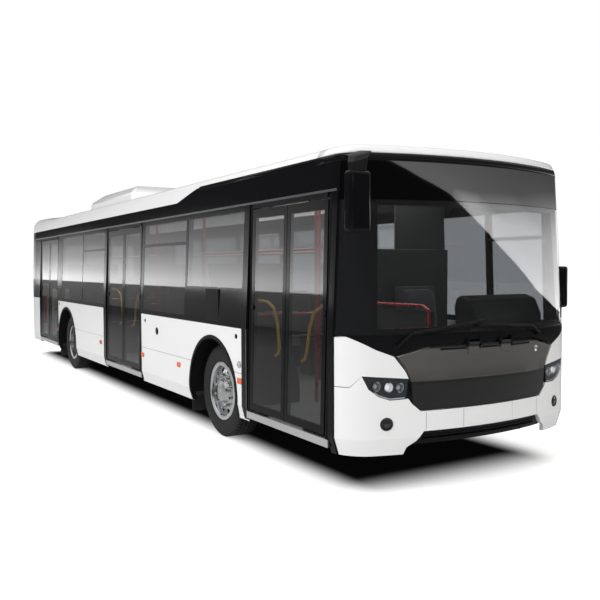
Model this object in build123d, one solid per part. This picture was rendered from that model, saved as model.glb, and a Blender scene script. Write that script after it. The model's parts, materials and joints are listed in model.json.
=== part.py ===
from build123d import *
import os
from math import atan2, cos, degrees, pi, radians, sin, sqrt

os.makedirs("parts", exist_ok=True)

# Frame: X points to the front of the bus, Y to its left, Z up, ground at Z = 0, millimetres.

# Length: axles and overhangs
AXLE_F = 3220.0
AXLE_R = -2930.0
FRONT_OVERHANG = 2660.0
REAR_OVERHANG = 3060.0
NOSE_X = AXLE_F + FRONT_OVERHANG
REAR_X = AXLE_R - REAR_OVERHANG
WHEELBASE = AXLE_F - AXLE_R
MID_X = (AXLE_F + AXLE_R) / 2

# Width and heights of the body
HALF_W = 1275.0
SKIRT_Z = 305.0
BEVEL_Z = 440.0
SKIRT_TUCK = 35.0
SILL_Z = 1180.0
SCUTTLE_Z = 1235.0
WINDOW_TOP_Z = 2350.0
TUMBLE = 52.0
WALL_T = 60.0
SEAM = 6.0
FIT = 0.3

# Roof section and the step in the black band along the roof edge
COVE_Z = 2560.0
COVE_R = 235.0
COVE_END = 82.0
ROOF_Z = 2870.0
ROOF_T = 50.0
BAND_LOW_Z = 2507.0
BAND_HIGH_Z = 2625.0
BAND_STEP_X0 = AXLE_F - 1070.0
BAND_STEP_X1 = AXLE_F - 504.0

# Nose: shallow bow, rounded corners, screen raked back towards the roof
BOW_R = 3200.0
CORNER_R = 330.0
CORNER_TOP_R = 250.0
CORNER_LAP = 95.0
CORNER_START = BOW_R - sqrt((BOW_R - CORNER_R) ** 2 - (HALF_W - CORNER_R) ** 2)
CORNER_BACK_X = NOSE_X - CORNER_START + CORNER_LAP
NOSE_BACK_X = CORNER_BACK_X - 235.0
CAP_BACK_X = CORNER_BACK_X - 335.0
SCREEN_RAKE = 90.0
NOSE_TOP_Z = 2640.0
SCREEN_TOP_Z = 2600.0
SIGN_SEAM_Z = 2280.0
NOSE_T = 40.0
GLASS_T = 10.0
CAP_R = 230.0

# Tail
TAIL_BOW_R = 9000.0
TAIL_CORNER_R = 220.0
TAIL_DEPTH = 340.0
TAIL_FRONT_X = REAR_X + TAIL_DEPTH
TAIL_TOP_R = 200.0
HATCH_HALF = HALF_W - 415.0
HATCH_Z0 = 430.0
HATCH_Z1 = 1330.0
HATCH_GAP = 8.0
REAR_PANE_HALF = HALF_W - 345.0
REAR_PANE_Z0 = 1560.0
REAR_PANE_Z1 = 2250.0

# Hinges of the lids
HINGE_R = 10.0
HINGE_PIN_R = 5.0
HINGE_LEN = 110.0
HINGE_LUG = 24.0
HINGE_SIDE_GAP = 2.0
HINGE_CLEAR = 30.0
LUG_CLEAR = 50.0
LUG_SPAN = HINGE_LEN + 2 * HINGE_LUG + 6 * HINGE_SIDE_GAP
STRAP_H = 90.0

# Floor and frame rails
FLOOR_TOP = 395.0
FLOOR_T = 45.0
FLOOR_LOW = FLOOR_TOP - FLOOR_T
INNER_Y = HALF_W - WALL_T
RAIL_W = 70.0
RAIL_H = 100.0
NOTCH_T = 30.0

# Running gear
TYRE_R = 478.0
TYRE_W = 276.0
RIM_R = 292.0
RIM_HALF = 104.0
RIM_T = 12.0
LIP_R = 305.0
LIP_T = 10.0
TRACK_Y = HALF_W - 230.0
TWIN_SPACING = 325.0
TWIN_IN_Y = TRACK_Y - TWIN_SPACING - TYRE_W / 2
RAIL_TYRE_GAP = 167.0
RAIL_Y = TWIN_IN_Y - RAIL_TYRE_GAP - RAIL_W / 2
ARCH_R_F = TYRE_R + 97.0
ARCH_R_R = TYRE_R + 122.0
ARCH_Z = TYRE_R - 8.0
KINGPIN_Y = TRACK_Y - 120.0
KINGPIN_R = 25.0
SPINDLE_R = 45.0
REAR_SPINDLE_R = 70.0
ARM_BACK = 120.0
TIE_Z = FLOOR_LOW - 60.0
BOX_IN_F = KINGPIN_Y - 365.0
BOX_IN_R = TWIN_IN_Y - 102.0
BOX_T = 6.0
AXLE_GAP = 130.0
AXLE_GAP_BACK = 300.0
REAR_GAP = 180.0
REAR_BEAM_HALF = 130.0
LINK_R = 11.0
LINK_Z = FLOOR_LOW - RAIL_H + 13.0
REAR_LINK_Z = FLOOR_LOW - RAIL_H + 33.0

# Doors, right side only; each row is the rear and the front jamb of one doorway
PILLAR_W = 77.0
DOORWAYS = {
    "rear": {"jamb0": AXLE_R - 2193.0, "jamb1": AXLE_R - 692.0},
    "middle": {"jamb0": MID_X - 723.0, "jamb1": MID_X + 852.0},
    "front": {"jamb0": AXLE_F + 786.0, "jamb1": CORNER_BACK_X - PILLAR_W},
}
POST_INSET = 32.0
POST_R = 20.0
LEAF_GAP = 30.0
LEAF_MEET = 4.0
LEAF_T = 36.0
LEAF_BOTTOM = 40.0
LEAF_TOP_DROP = 50.0
STILE_W = 52.0
RAIL_TOP_W = 80.0
RAIL_BOTTOM_W = 62.0
PANE_T = 8.0
PANE_INSET = 2.0
ARM_T = 10.0
ARM_W = 40.0
ARM_GAP = 8.0
PIN_R = 9.0
PIN_LEN = 30.0
PIN_END_GAP = 4.0
DOOR_TILT = degrees(atan2(TUMBLE, WINDOW_TOP_Z - FLOOR_TOP))
DOOR_Y = HALF_W - LEAF_T / 2 - 4.0


def prism(axis, points, start, end):
    """Straight prism of a polygon: (y, z) along X, (x, z) along Y, (x, y) along Z."""
    place = {
        "X": lambda a, b: (start, a, b),
        "Y": lambda a, b: (a, start, b),
        "Z": lambda a, b: (a, b, start),
    }[axis]
    way = {"X": (1, 0, 0), "Y": (0, 1, 0), "Z": (0, 0, 1)}[axis]
    outline = make_face(Polyline(*[place(a, b) for a, b in points], close=True))
    return extrude(outline, amount=end - start, dir=way)


def block(x0, x1, y0, y1, z0, z1):
    """Box given by its limits."""
    return Pos((x0 + x1) / 2, (y0 + y1) / 2, (z0 + z1) / 2) * Box(x1 - x0, y1 - y0, z1 - z0)


def rod(p, q, radius):
    """Round bar between two points."""
    along = Vector(*q) - Vector(*p)
    base = Plane(origin=p, z_dir=along)
    return extrude(base * Circle(radius), amount=along.length)


def drum(axis, centre, radius, length):
    """Cylinder about a point, along one axis."""
    turn = {"X": Rot(0, 90, 0), "Y": Rot(90, 0, 0), "Z": Rot(0, 0, 0)}[axis]
    return Pos(*centre) * turn * Cylinder(radius, length)


def pipe(points, radius):
    """Bent round bar through the points."""
    bar = rod(points[0], points[1], radius)
    for p, q in zip(points[1:], points[2:]):
        bar = bar + rod(p, q, radius) + Pos(*p) * Sphere(radius)
    return bar


def joined(shapes):
    """All shapes of a row as one."""
    whole = None
    for shape in shapes:
        whole = shape if whole is None else whole + shape
    return whole


def mirrored(shape):
    """Copy on the other side of the bus."""
    return mirror(shape, about=Plane.XZ)


def whole_outline(points):
    """Outline drawn on the left, closed by its mirror image on the right."""
    ring = points + [(-y, z) for y, z in reversed(points)]
    return [p for i, p in enumerate(ring) if p != ring[i - 1]]


def save(name, *shapes):
    """Write the solids of one node."""
    solids = [solid for shape in shapes for solid in shape.solids()]
    export_step(Compound(solids), f"parts/{name}.step")


# Hinges along Y
def hinge_pins(x, z, spots, back, up):
    """Fixed pins and lugs of a row of hinges; the lugs reach to x = back and z = up."""
    xs = sorted((x + (HINGE_R if back < x else -HINGE_R), back))
    pins = []
    for y in spots:
        pins.append(drum("Y", (x, y, z), HINGE_PIN_R, HINGE_LEN + 2 * HINGE_LUG))
        for s in (1, -1):
            near = y + s * (HINGE_LEN / 2 + HINGE_SIDE_GAP)
            ends = sorted((near, y + s * (HINGE_LEN / 2 + HINGE_LUG)))
            pins.append(block(xs[0], xs[1], ends[0], ends[1], z - HINGE_R, up))
    return joined(pins)


def hinge_room(x, z, spots, wide, radius):
    """Clear round space about a hinge line, over the barrels or over the lugs beside them."""
    return joined([drum("Y", (x, y, z), radius, wide) for y in spots])


def barrels(x, z, spots, depth):
    """Hinge barrels with a strap reaching into the lid below them."""
    strap = sorted((x, x + depth))
    half = HINGE_LEN / 2
    solid = joined(
        [
            drum("Y", (x, y, z), HINGE_R, HINGE_LEN)
            + block(strap[0], strap[1], y - half, y + half, z - STRAP_H, z)
            for y in spots
        ]
    )
    return solid - joined([drum("Y", (x, y, z), HINGE_PIN_R + FIT, 2 * HINGE_LEN) for y in spots])


# Body surfaces
def wall_y(z):
    """Half width of the outer side face at a height."""
    if z <= BEVEL_Z:
        return HALF_W - SKIRT_TUCK * (BEVEL_Z - z) / (BEVEL_Z - SKIRT_Z)
    if z <= SILL_Z:
        return HALF_W
    return HALF_W - TUMBLE * (z - SILL_Z) / (WINDOW_TOP_Z - SILL_Z)


def wall_bar(x0, x1, z0, z1, side, outer=0.0, depth=WALL_T):
    """Length of side wall between two heights, following the side's slope."""
    cut = [z for z in (BEVEL_Z, SILL_Z) if z0 < z < z1]
    heights = [z0] + cut + [z1]
    points = [(side * (wall_y(z) - outer), z) for z in heights]
    inner = {z: HALF_W if z <= SILL_Z else wall_y(z) for z in (z0, z1)}
    points = points + [(side * (inner[z] - depth), z) for z in (z1, z0)]
    return prism("X", points, x0, x1)


def plan(z, nose, half, bow, corner, back, way=1):
    """Plan face at a height: straight sides, rounded corners and a shallow bow at the end."""
    centre = nose - bow
    corner_y = half - corner
    corner_x = centre + sqrt((bow - corner) ** 2 - corner_y ** 2)
    angle = atan2(corner_y, corner_x - centre)
    turn = (angle + pi / 2) / 2
    meet = (centre + bow * cos(angle), bow * sin(angle))
    mid = (corner_x + corner * cos(turn), corner_y + corner * sin(turn))

    def at(x, y):
        return (way * x, y, z)

    edges = [
        Line(at(back, -half), at(corner_x, -half)),
        ThreePointArc(at(corner_x, -half), at(mid[0], -mid[1]), at(meet[0], -meet[1])),
        ThreePointArc(at(meet[0], -meet[1]), at(nose, 0), at(*meet)),
        ThreePointArc(at(*meet), at(*mid), at(corner_x, half)),
        Line(at(corner_x, half), at(back, half)),
        Line(at(back, half), at(back, -half)),
    ]
    return make_face(edges)


def screen_share(z):
    """How far up the raked screen a height lies."""
    return max(0.0, z - SCUTTLE_Z) / (SCREEN_TOP_Z - SCUTTLE_Z)


def nose_plan(z, inset=0.0, back=NOSE_BACK_X):
    """Plan of the nose at a height, with the skirt tuck below and the screen rake above."""
    share = screen_share(z)
    corner = CORNER_R + (CORNER_TOP_R - CORNER_R) * share
    tuck = SKIRT_TUCK * max(0.0, BEVEL_Z - z) / (BEVEL_Z - SKIRT_Z)
    tip = NOSE_X - SCREEN_RAKE * share - tuck - inset
    return plan(z, tip, wall_y(z) - inset, BOW_R - inset, corner - inset, back)


def nose_low(inset):
    """Solid nose below the screen."""
    straight = extrude(nose_plan(BEVEL_Z, inset), amount=SCUTTLE_Z - BEVEL_Z, dir=(0, 0, 1))
    return straight + loft([nose_plan(SKIRT_Z, inset), nose_plan(BEVEL_Z, inset)], ruled=True)


def nose_high(inset):
    """Solid nose at the height of the screen and the sign."""
    return loft([nose_plan(SCUTTLE_Z, inset), nose_plan(NOSE_TOP_Z, inset)], ruled=True)


def nose_x(y, z):
    """X of the outer nose surface near the middle of the bus."""
    return NOSE_X - SCREEN_RAKE * screen_share(z) - BOW_R + sqrt(BOW_R ** 2 - y ** 2)


def roof_face(x, inset=0.0):
    """Cross-section of the roof above the windows."""
    side = wall_y(WINDOW_TOP_Z) - inset
    spring = wall_y(COVE_Z) - inset
    centre = wall_y(COVE_Z) - COVE_R
    radius = COVE_R - inset
    half = radians(COVE_END / 2)
    end = radians(COVE_END)
    mid = (centre + radius * cos(half), COVE_Z + radius * sin(half))
    top = (centre + radius * cos(end), COVE_Z + radius * sin(end))
    edges = [
        Line((x, -side, WINDOW_TOP_Z), (x, -spring, COVE_Z)),
        ThreePointArc((x, -spring, COVE_Z), (x, -mid[0], mid[1]), (x, -top[0], top[1])),
        ThreePointArc((x, -top[0], top[1]), (x, 0, ROOF_Z - inset), (x, top[0], top[1])),
        ThreePointArc((x, top[0], top[1]), (x, mid[0], mid[1]), (x, spring, COVE_Z)),
        Line((x, spring, COVE_Z), (x, side, WINDOW_TOP_Z)),
        Line((x, side, WINDOW_TOP_Z), (x, -side, WINDOW_TOP_Z)),
    ]
    return make_face(edges)


def roof_bar(x0, x1, inset=0.0):
    """Solid bar with the roof's cross-section."""
    return extrude(roof_face(x0, inset), amount=x1 - x0, dir=(1, 0, 0))


def end_face(tip, top, radius, back, low, y):
    """Side view of a roof end with one rounded top edge."""
    way = 1.0 if tip > back else -1.0
    mid = radius * (1 - cos(pi / 4))
    edges = [
        Line((back, y, low), (tip, y, low)),
        Line((tip, y, low), (tip, y, top - radius)),
        ThreePointArc(
            (tip, y, top - radius), (tip - way * mid, y, top - mid), (tip - way * radius, y, top)
        ),
        Line((tip - way * radius, y, top), (back, y, top)),
        Line((back, y, top), (back, y, low)),
    ]
    return make_face(edges)


# Roof, roof-edge band and front roof cap
def band_cutter():
    """Everything below the top line of the black band, with its step towards the front."""
    points = [
        (REAR_X, WINDOW_TOP_Z - SEAM),
        (NOSE_X, WINDOW_TOP_Z - SEAM),
        (NOSE_X, BAND_HIGH_Z),
        (BAND_STEP_X1, BAND_HIGH_Z),
        (BAND_STEP_X0, BAND_LOW_Z),
        (REAR_X, BAND_LOW_Z),
    ]
    return prism("Y", points, -HALF_W, HALF_W)


def cap_body(inset):
    """Front end of the roof: plan, cross-section and rounded top edge in one."""
    low = SCREEN_TOP_Z - 1
    back = CAP_BACK_X + SEAM - (inset > 0) * SEAM * 2
    column = extrude(
        nose_plan(SCREEN_TOP_Z, inset, CAP_BACK_X), amount=ROOF_Z - SCREEN_TOP_Z, dir=(0, 0, 1)
    )
    tip = NOSE_X - SCREEN_RAKE - inset
    outline = end_face(tip, ROOF_Z - inset, CAP_R - inset, back, low, -HALF_W)
    side = extrude(outline, amount=2 * HALF_W, dir=(0, 1, 0))
    return roof_bar(back, NOSE_X, inset) & column & side


roof_inside = roof_bar(REAR_X, NOSE_X, ROOF_T)
roof_shell = roof_bar(TAIL_FRONT_X + SEAM / 2, CAP_BACK_X) - roof_inside
front_band = roof_bar(CAP_BACK_X, CORNER_BACK_X - SEAM) - roof_inside
nose_limit = nose_high(0.0) + block(CAP_BACK_X, NOSE_BACK_X, -HALF_W, HALF_W, 0, ROOF_Z)
below_band = band_cutter()
save("roof", roof_shell - below_band)
save("roof_bands", (roof_shell + (front_band & nose_limit)) & below_band)

band_room = block(CAP_BACK_X, CORNER_BACK_X, -HALF_W, HALF_W, SCREEN_TOP_Z - 1, BAND_HIGH_Z)
save("front_roof_cap", cap_body(0.0) - cap_body(ROOF_T) - band_room)

# Roof cooling pod
POD_X0 = AXLE_R - 570.0
POD_LEN = 3170.0
POD_X1 = POD_X0 + POD_LEN
POD_SLOPE = 520.0
POD_BACK_SLOPE = 173.0
POD_HALF = HALF_W - 345.0
POD_TOP_HALF = POD_HALF - 170.0
POD_TOP_Z = 3150.0
POD_LOW_Z = ROOF_Z - 170.0
POD_EDGE_Z = (ROOF_Z + POD_TOP_Z) / 2
POD_T = 25.0


def pod_body(inset):
    """Pod outline: sloped front, leaning sides."""
    top = POD_TOP_Z - inset
    half = POD_HALF - inset
    top_half = POD_TOP_HALF - inset
    side = [
        (POD_X0 + inset, POD_LOW_Z),
        (POD_X1 - inset, POD_LOW_Z),
        (POD_X1 - inset, ROOF_Z),
        (POD_X1 - POD_SLOPE - inset, top),
        (POD_X0 + POD_BACK_SLOPE + inset, top),
        (POD_X0 + inset, POD_EDGE_Z),
    ]
    section = whole_outline([(half, POD_LOW_Z), (half, POD_EDGE_Z), (top_half, top)])
    return prism("Y", side, -HALF_W, HALF_W) & prism("X", section, POD_X0, POD_X1)


save("roof_pod", pod_body(0.0) - pod_body(POD_T) - roof_bar(REAR_X, NOSE_X, -FIT))

# Nose panels: outlines seen from the front, left side, as (y, z), drawn for one half width
DRAWN_HALF_W = 1275.0
FACE_SCALE = HALF_W / DRAWN_HALF_W
OUTER_Y = 1300.0
SEAM_SIDE_Z = 846.0
LAMP_SEAM = 0.5
LAMP_OUTLINE = [(770, 900), (1130, 932), (1085, 830), (1010, 770), (920, 738), (790, 742)]
CORNER_OUTLINE = [
    (OUTER_Y, 1215),
    (1217, 1232),
    (1030, 1130),
    (890, 1075),
    (800, 960),
    (770, 900),
    LAMP_OUTLINE[1],
    (1200, SEAM_SIDE_Z),
    (OUTER_Y, SEAM_SIDE_Z),
]
BUMPER_OUTLINE = (
    [(0, 640), (668, 640), (745, 705), (770, LAMP_OUTLINE[-1][1])]
    + [(y, z - LAMP_SEAM) for y, z in LAMP_OUTLINE[:0:-1]]
    + [(1195, SEAM_SIDE_Z - SEAM), (OUTER_Y, SEAM_SIDE_Z - SEAM)]
    + [(OUTER_Y, 280), (800, 280), (773, 362), (700, 409), (640, 482), (0, 482)]
)
FLAP_OUTLINE = [
    (0, 652),
    (660, 652),
    (730, 712),
    (752, 905),
    (790, 985),
    (850, 1068),
    (560, 1138),
    (0, 1148),
]
SCUTTLE_OUTLINE = [
    (0, 1168),
    (560, 1158),
    (870, 1082),
    (890, 1075.8),
    (1030, 1130.8),
    (1217, 1232.8),
    (1217, SCUTTLE_Z + 5),
    (0, SCUTTLE_Z + 5),
]
INTAKE_LOW_Z = 372.0
INTAKE_OUTLINE = [(0, 520), (630, 520), (760, 380), (720, INTAKE_LOW_Z), (0, INTAKE_LOW_Z)]
NOSE_REACH_X = NOSE_X + 100.0


def seen(points):
    """Cutters through the nose of an outline drawn on the left, on both sides."""
    return joined(
        [
            prism("X", [(s * FACE_SCALE * y, z) for y, z in points], CORNER_BACK_X, NOSE_REACH_X)
            for s in (1, -1)
        ]
    )


def across(points):
    """Cutter of an outline that runs across the middle of the bus."""
    ring = whole_outline([(FACE_SCALE * y, z) for y, z in points])
    return prism("X", ring, CORNER_BACK_X, NOSE_REACH_X)


def nose_drums(y, z, radius, length):
    """Pair of round cutters into the nose."""
    return joined(
        [drum("X", (nose_x(FACE_SCALE * y, z), s * FACE_SCALE * y, z), radius, length) for s in (1, -1)]
    )


# Corners, bumper, headlamps and their lenses
FOG = {"y": 945.0, "z": 555.0}
FOG_R = 52.0
FOG_CUT = 250.0
LAMPS = [{"y": 838.0, "z": 832.0}, {"y": 925.0, "z": 838.0}, {"y": 1020.0, "z": 848.0}]
BOWL_R = 41.0
BOWL_LEN = 110.0
LENS_T = 8.0
LAMP_DEPTH = 110.0
nose_skin = nose_low(0.0) - nose_low(NOSE_T)
save("front_corners", nose_skin & seen(CORNER_OUTLINE))
save("front_bumper", (nose_skin & across(BUMPER_OUTLINE)) - nose_drums(FOG["y"], FOG["z"], FOG_R, FOG_CUT))

lamp_y = sum(y for y, z in LAMP_OUTLINE) / len(LAMP_OUTLINE)
lamp_z = sum(z for y, z in LAMP_OUTLINE) / len(LAMP_OUTLINE)
lamp_cut = seen(
    [(y + (FIT if y < lamp_y else -FIT), z + (FIT if z < lamp_z else -FIT)) for y, z in LAMP_OUTLINE]
)
fog_cut = nose_drums(FOG["y"], FOG["z"], FOG_R - FIT, FOG_CUT)
lamp_skin = nose_low(LENS_T + FIT) - nose_low(LAMP_DEPTH)
bowls = joined([nose_drums(lamp["y"], lamp["z"], BOWL_R, BOWL_LEN) for lamp in LAMPS])
save("headlamps", (lamp_skin & lamp_cut) - bowls, lamp_skin & fog_cut)
lens_skin = nose_low(0.0) - nose_low(LENS_T)
save("lamp_lenses", lens_skin & lamp_cut, lens_skin & fog_cut)

# Front service flap, hinged along its top edge
FLAP_HINGE_X = NOSE_X + 2.0
FLAP_HINGE_Z = 1154.0
FLAP_SPOTS = [-180.0, 180.0]
flap_room = hinge_room(FLAP_HINGE_X, FLAP_HINGE_Z, FLAP_SPOTS, LUG_SPAN, LUG_CLEAR)
flap = (nose_skin & across(FLAP_OUTLINE)) - flap_room
save("front_flap", flap + barrels(FLAP_HINGE_X, FLAP_HINGE_Z, FLAP_SPOTS, -2 * HINGE_R))

# Black surround of the screen, scuttle, lower intake and the pillar behind the front door
FRAME_IN = GLASS_T + FIT
FRAME_OUT = 72.0
FRAME_BAR = 40.0
SCREEN_HALF = HALF_W - 265.0
SCREEN_LOW_Z = SCUTTLE_Z + 55.0
SIGN_VIEW_HALF = SCREEN_HALF - 60.0
TOP_GAP = 0.5
SCREEN_GAP = 5.0
SCUTTLE_INSET = 2.0
STRUT_T = 18.0
PILLAR_INSET = 3.0
PILLAR_X1 = CORNER_BACK_X - SEAM
VIEW_BACK_X = CORNER_BACK_X - 200.0
nose_zone = block(
    CORNER_BACK_X, NOSE_REACH_X, -HALF_W, HALF_W, SCUTTLE_Z, SCREEN_TOP_Z - TOP_GAP
)
view_outline = [
    (-SCREEN_HALF, SCREEN_LOW_Z),
    (SCREEN_HALF, SCREEN_LOW_Z),
    (SCREEN_HALF - FRAME_BAR, SIGN_SEAM_Z - FRAME_BAR),
    (-SCREEN_HALF + FRAME_BAR, SIGN_SEAM_Z - FRAME_BAR),
]
view = prism("X", view_outline, VIEW_BACK_X, NOSE_REACH_X)
sign_view = block(
    VIEW_BACK_X,
    NOSE_REACH_X,
    -SIGN_VIEW_HALF,
    SIGN_VIEW_HALF,
    SIGN_SEAM_Z + FRAME_BAR,
    SCREEN_TOP_Z - FRAME_BAR,
)
scuttle = (nose_low(SCUTTLE_INSET) - nose_low(NOSE_T)) & across(SCUTTLE_OUTLINE)
surround = ((nose_high(FRAME_IN) - nose_high(FRAME_OUT)) & nose_zone) - view - sign_view + scuttle
surround = surround - hinge_room(FLAP_HINGE_X, FLAP_HINGE_Z, FLAP_SPOTS, LUG_SPAN, HINGE_CLEAR)
surround = surround + hinge_pins(
    FLAP_HINGE_X, FLAP_HINGE_Z, FLAP_SPOTS, FLAP_HINGE_X - NOSE_T, SCUTTLE_Z - NOSE_T
)
intake = (nose_low(NOSE_T + FIT) - nose_low(2 * NOSE_T)) & across(INTAKE_OUTLINE)
strut = block(
    PILLAR_X1,
    nose_x(RAIL_Y, 0) - 1.5 * NOSE_T,
    RAIL_Y,
    RAIL_Y + RAIL_W,
    INTAKE_LOW_Z,
    INTAKE_LOW_Z + STRUT_T,
)
intake = intake + strut + mirrored(strut)
front_jamb = DOORWAYS["front"]["jamb1"]
pillar = wall_bar(front_jamb, PILLAR_X1, SKIRT_Z, SILL_Z, -1, PILLAR_INSET)
pillar = pillar + wall_bar(front_jamb, PILLAR_X1, SILL_Z, WINDOW_TOP_Z, -1, PILLAR_INSET)
save("front_frame", surround, intake, pillar)

# Screen, sign glass and sign
SIGN_X = CORNER_BACK_X - 5.0
SIGN_T = 50.0
SIGN_HALF = HALF_W - 455.0
SIGN_MARGIN = 50.0
HANGER_HALF = 60.0
glass_skin = nose_high(0.0) - nose_high(GLASS_T)
screen_zone = block(
    CORNER_BACK_X, NOSE_X, -HALF_W, HALF_W, SCUTTLE_Z + SCREEN_GAP, SIGN_SEAM_Z
)
sign_zone = block(
    CORNER_BACK_X, NOSE_X, -HALF_W, HALF_W, SIGN_SEAM_Z + SCREEN_GAP, SCREEN_TOP_Z - TOP_GAP
)
save("windscreen", glass_skin & screen_zone, glass_skin & sign_zone)
sign_top = SCREEN_TOP_Z - SIGN_MARGIN
sign = block(SIGN_X - SIGN_T, SIGN_X, -SIGN_HALF, SIGN_HALF, SIGN_SEAM_Z + SIGN_MARGIN, sign_top)
hanger = block(SIGN_X - SIGN_T, SIGN_X, -HANGER_HALF, HANGER_HALF, sign_top, ROOF_Z - ROOF_T - FIT)
save("sign_box", sign + hanger)

# Side walls: panels below the sill and black window frames above it, split at the seams
RIGHT_RUNS = [
    {"x0": TAIL_FRONT_X + SEAM, "x1": DOORWAYS["rear"]["jamb0"]},
    {"x0": DOORWAYS["rear"]["jamb1"], "x1": DOORWAYS["middle"]["jamb0"]},
    {"x0": DOORWAYS["middle"]["jamb1"], "x1": DOORWAYS["front"]["jamb0"]},
]
LEFT_RUN = {"x0": TAIL_FRONT_X + SEAM, "x1": PILLAR_X1}
LEFT_SEAMS = [
    LEFT_RUN["x0"],
    AXLE_R - 720.0,
    MID_X - 765.0,
    AXLE_F - 1320.0,
    AXLE_F + 730.0,
    LEFT_RUN["x1"],
]
PANE_LOW = SILL_Z + 55.0
PANE_TOP = WINDOW_TOP_Z - 50.0
VENT_LOW = 2060.0
VENT_BAR = 35.0
BLIND_TOP = 1565.0
# Panes: start and end are shares of the length of their run of wall
RIGHT_PANES = [
    {"run": RIGHT_RUNS[1], "start": 0.109, "end": 0.556, "low": PANE_LOW, "top": PANE_TOP},
    {"run": RIGHT_RUNS[1], "start": 0.569, "end": 0.963, "low": PANE_LOW, "top": VENT_LOW - VENT_BAR},
    {"run": RIGHT_RUNS[1], "start": 0.569, "end": 0.963, "low": VENT_LOW, "top": PANE_TOP},
    {"run": RIGHT_RUNS[2], "start": 0.029, "end": 0.490, "low": PANE_LOW, "top": VENT_LOW - VENT_BAR},
    {"run": RIGHT_RUNS[2], "start": 0.029, "end": 0.490, "low": VENT_LOW, "top": PANE_TOP},
    {"run": RIGHT_RUNS[2], "start": 0.509, "end": 0.965, "low": BLIND_TOP, "top": PANE_TOP},
]
LEFT_PANES = [
    {"run": LEFT_RUN, "start": 0.134, "end": 0.265, "low": PANE_LOW, "top": PANE_TOP},
    {"run": LEFT_RUN, "start": 0.270, "end": 0.400, "low": PANE_LOW, "top": VENT_LOW - VENT_BAR},
    {"run": LEFT_RUN, "start": 0.270, "end": 0.400, "low": VENT_LOW, "top": PANE_TOP},
    {"run": LEFT_RUN, "start": 0.406, "end": 0.536, "low": PANE_LOW, "top": PANE_TOP},
    {"run": LEFT_RUN, "start": 0.542, "end": 0.672, "low": PANE_LOW, "top": VENT_LOW - VENT_BAR},
    {"run": LEFT_RUN, "start": 0.542, "end": 0.672, "low": VENT_LOW, "top": PANE_TOP},
    {"run": LEFT_RUN, "start": 0.677, "end": 0.856, "low": PANE_LOW, "top": PANE_TOP},
    {"run": LEFT_RUN, "start": 0.864, "end": 0.925, "low": PANE_LOW, "top": PANE_TOP},
    {"run": LEFT_RUN, "start": 0.929, "end": 0.991, "low": PANE_LOW, "top": VENT_LOW - VENT_BAR},
    {"run": LEFT_RUN, "start": 0.929, "end": 0.991, "low": VENT_LOW, "top": PANE_TOP},
]


def pane_ends(pane):
    """Both ends of a pane along the bus."""
    length = pane["run"]["x1"] - pane["run"]["x0"]
    return [pane["run"]["x0"] + pane[key] * length for key in ("start", "end")]


def pane_block(pane, gap):
    """Window hole of a pane, made smaller all round by a gap."""
    x0, x1 = pane_ends(pane)
    return block(x0 + gap, x1 - gap, -2 * HALF_W, 2 * HALF_W, pane["low"] + gap, pane["top"] - gap)


def arches(length):
    """Cutters of both wheel arches, right across the bus."""
    front = drum("Y", (AXLE_F, 0, ARCH_Z), ARCH_R_F, length)
    return front + drum("Y", (AXLE_R, 0, ARCH_Z), ARCH_R_R, length)


arch_cut = arches(3 * HALF_W)
panels = [wall_bar(run["x0"], run["x1"], SKIRT_Z, SILL_Z, -1) - arch_cut for run in RIGHT_RUNS]
for x0, x1 in zip(LEFT_SEAMS, LEFT_SEAMS[1:]):
    panels.append(wall_bar(x0, x1 - SEAM, SKIRT_Z, SILL_Z, 1) - arch_cut)
save("side_panels", *panels)

frames = []
panes = []
for side, runs, table in ((-1, RIGHT_RUNS, RIGHT_PANES), (1, [LEFT_RUN], LEFT_PANES)):
    for run in runs:
        frame = wall_bar(run["x0"], run["x1"], SILL_Z, WINDOW_TOP_Z, side)
        for pane in table:
            if pane["run"] is run:
                frame = frame - pane_block(pane, 0.0)
        frames.append(frame)
    for pane in table:
        x0, x1 = pane_ends(pane)
        sheet = wall_bar(x0, x1, SILL_Z, WINDOW_TOP_Z, side, PANE_INSET, PANE_T)
        panes.append(sheet & pane_block(pane, FIT))
save("window_frames", *frames)


# Tail: shell, engine hatch, rear window and lamps
def tail_body(inset):
    """Solid tail end of the bus."""
    low = SKIRT_Z - (inset > 0) * SEAM
    back = -TAIL_FRONT_X - (inset > 0) * SEAM
    outline = plan(
        low, -REAR_X - inset, HALF_W - inset, TAIL_BOW_R - inset, TAIL_CORNER_R - inset, back, -1
    )
    column = extrude(outline, amount=ROOF_Z - low, dir=(0, 0, 1))
    section = [(wall_y(z) - inset, z) for z in (low, BEVEL_Z, SILL_Z, WINDOW_TOP_Z)]
    lower = prism("X", whole_outline(section), REAR_X, -back)
    upper = roof_bar(REAR_X, -back, inset)
    profile = end_face(REAR_X + inset, ROOF_Z - inset, TAIL_TOP_R - inset, -back, low, -HALF_W)
    return (lower + upper) & column & extrude(profile, amount=2 * HALF_W, dir=(0, 1, 0))


LAMP_REAR_Y0 = HALF_W - 300.0
LAMP_REAR_Y1 = HALF_W - 155.0
LAMP_REAR_Z0 = 620.0
LAMP_REAR_Z1 = 1250.0
LAMP_REAR_GAP = FIT
TAIL_CUT_X0 = REAR_X - 50.0
TAIL_CUT_X1 = TAIL_FRONT_X
HATCH_HINGE_X = REAR_X - HINGE_R - 2.0
HATCH_HINGE_Z = HATCH_Z1
HATCH_SPOTS = [-360.0, 360.0]
HATCH_ROOM = HINGE_LEN + 4 * HINGE_SIDE_GAP


def tail_block(half, z0, z1):
    """Cutter through the tail's end wall, across the middle."""
    return block(TAIL_CUT_X0, TAIL_CUT_X1, -half, half, z0, z1)


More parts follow.
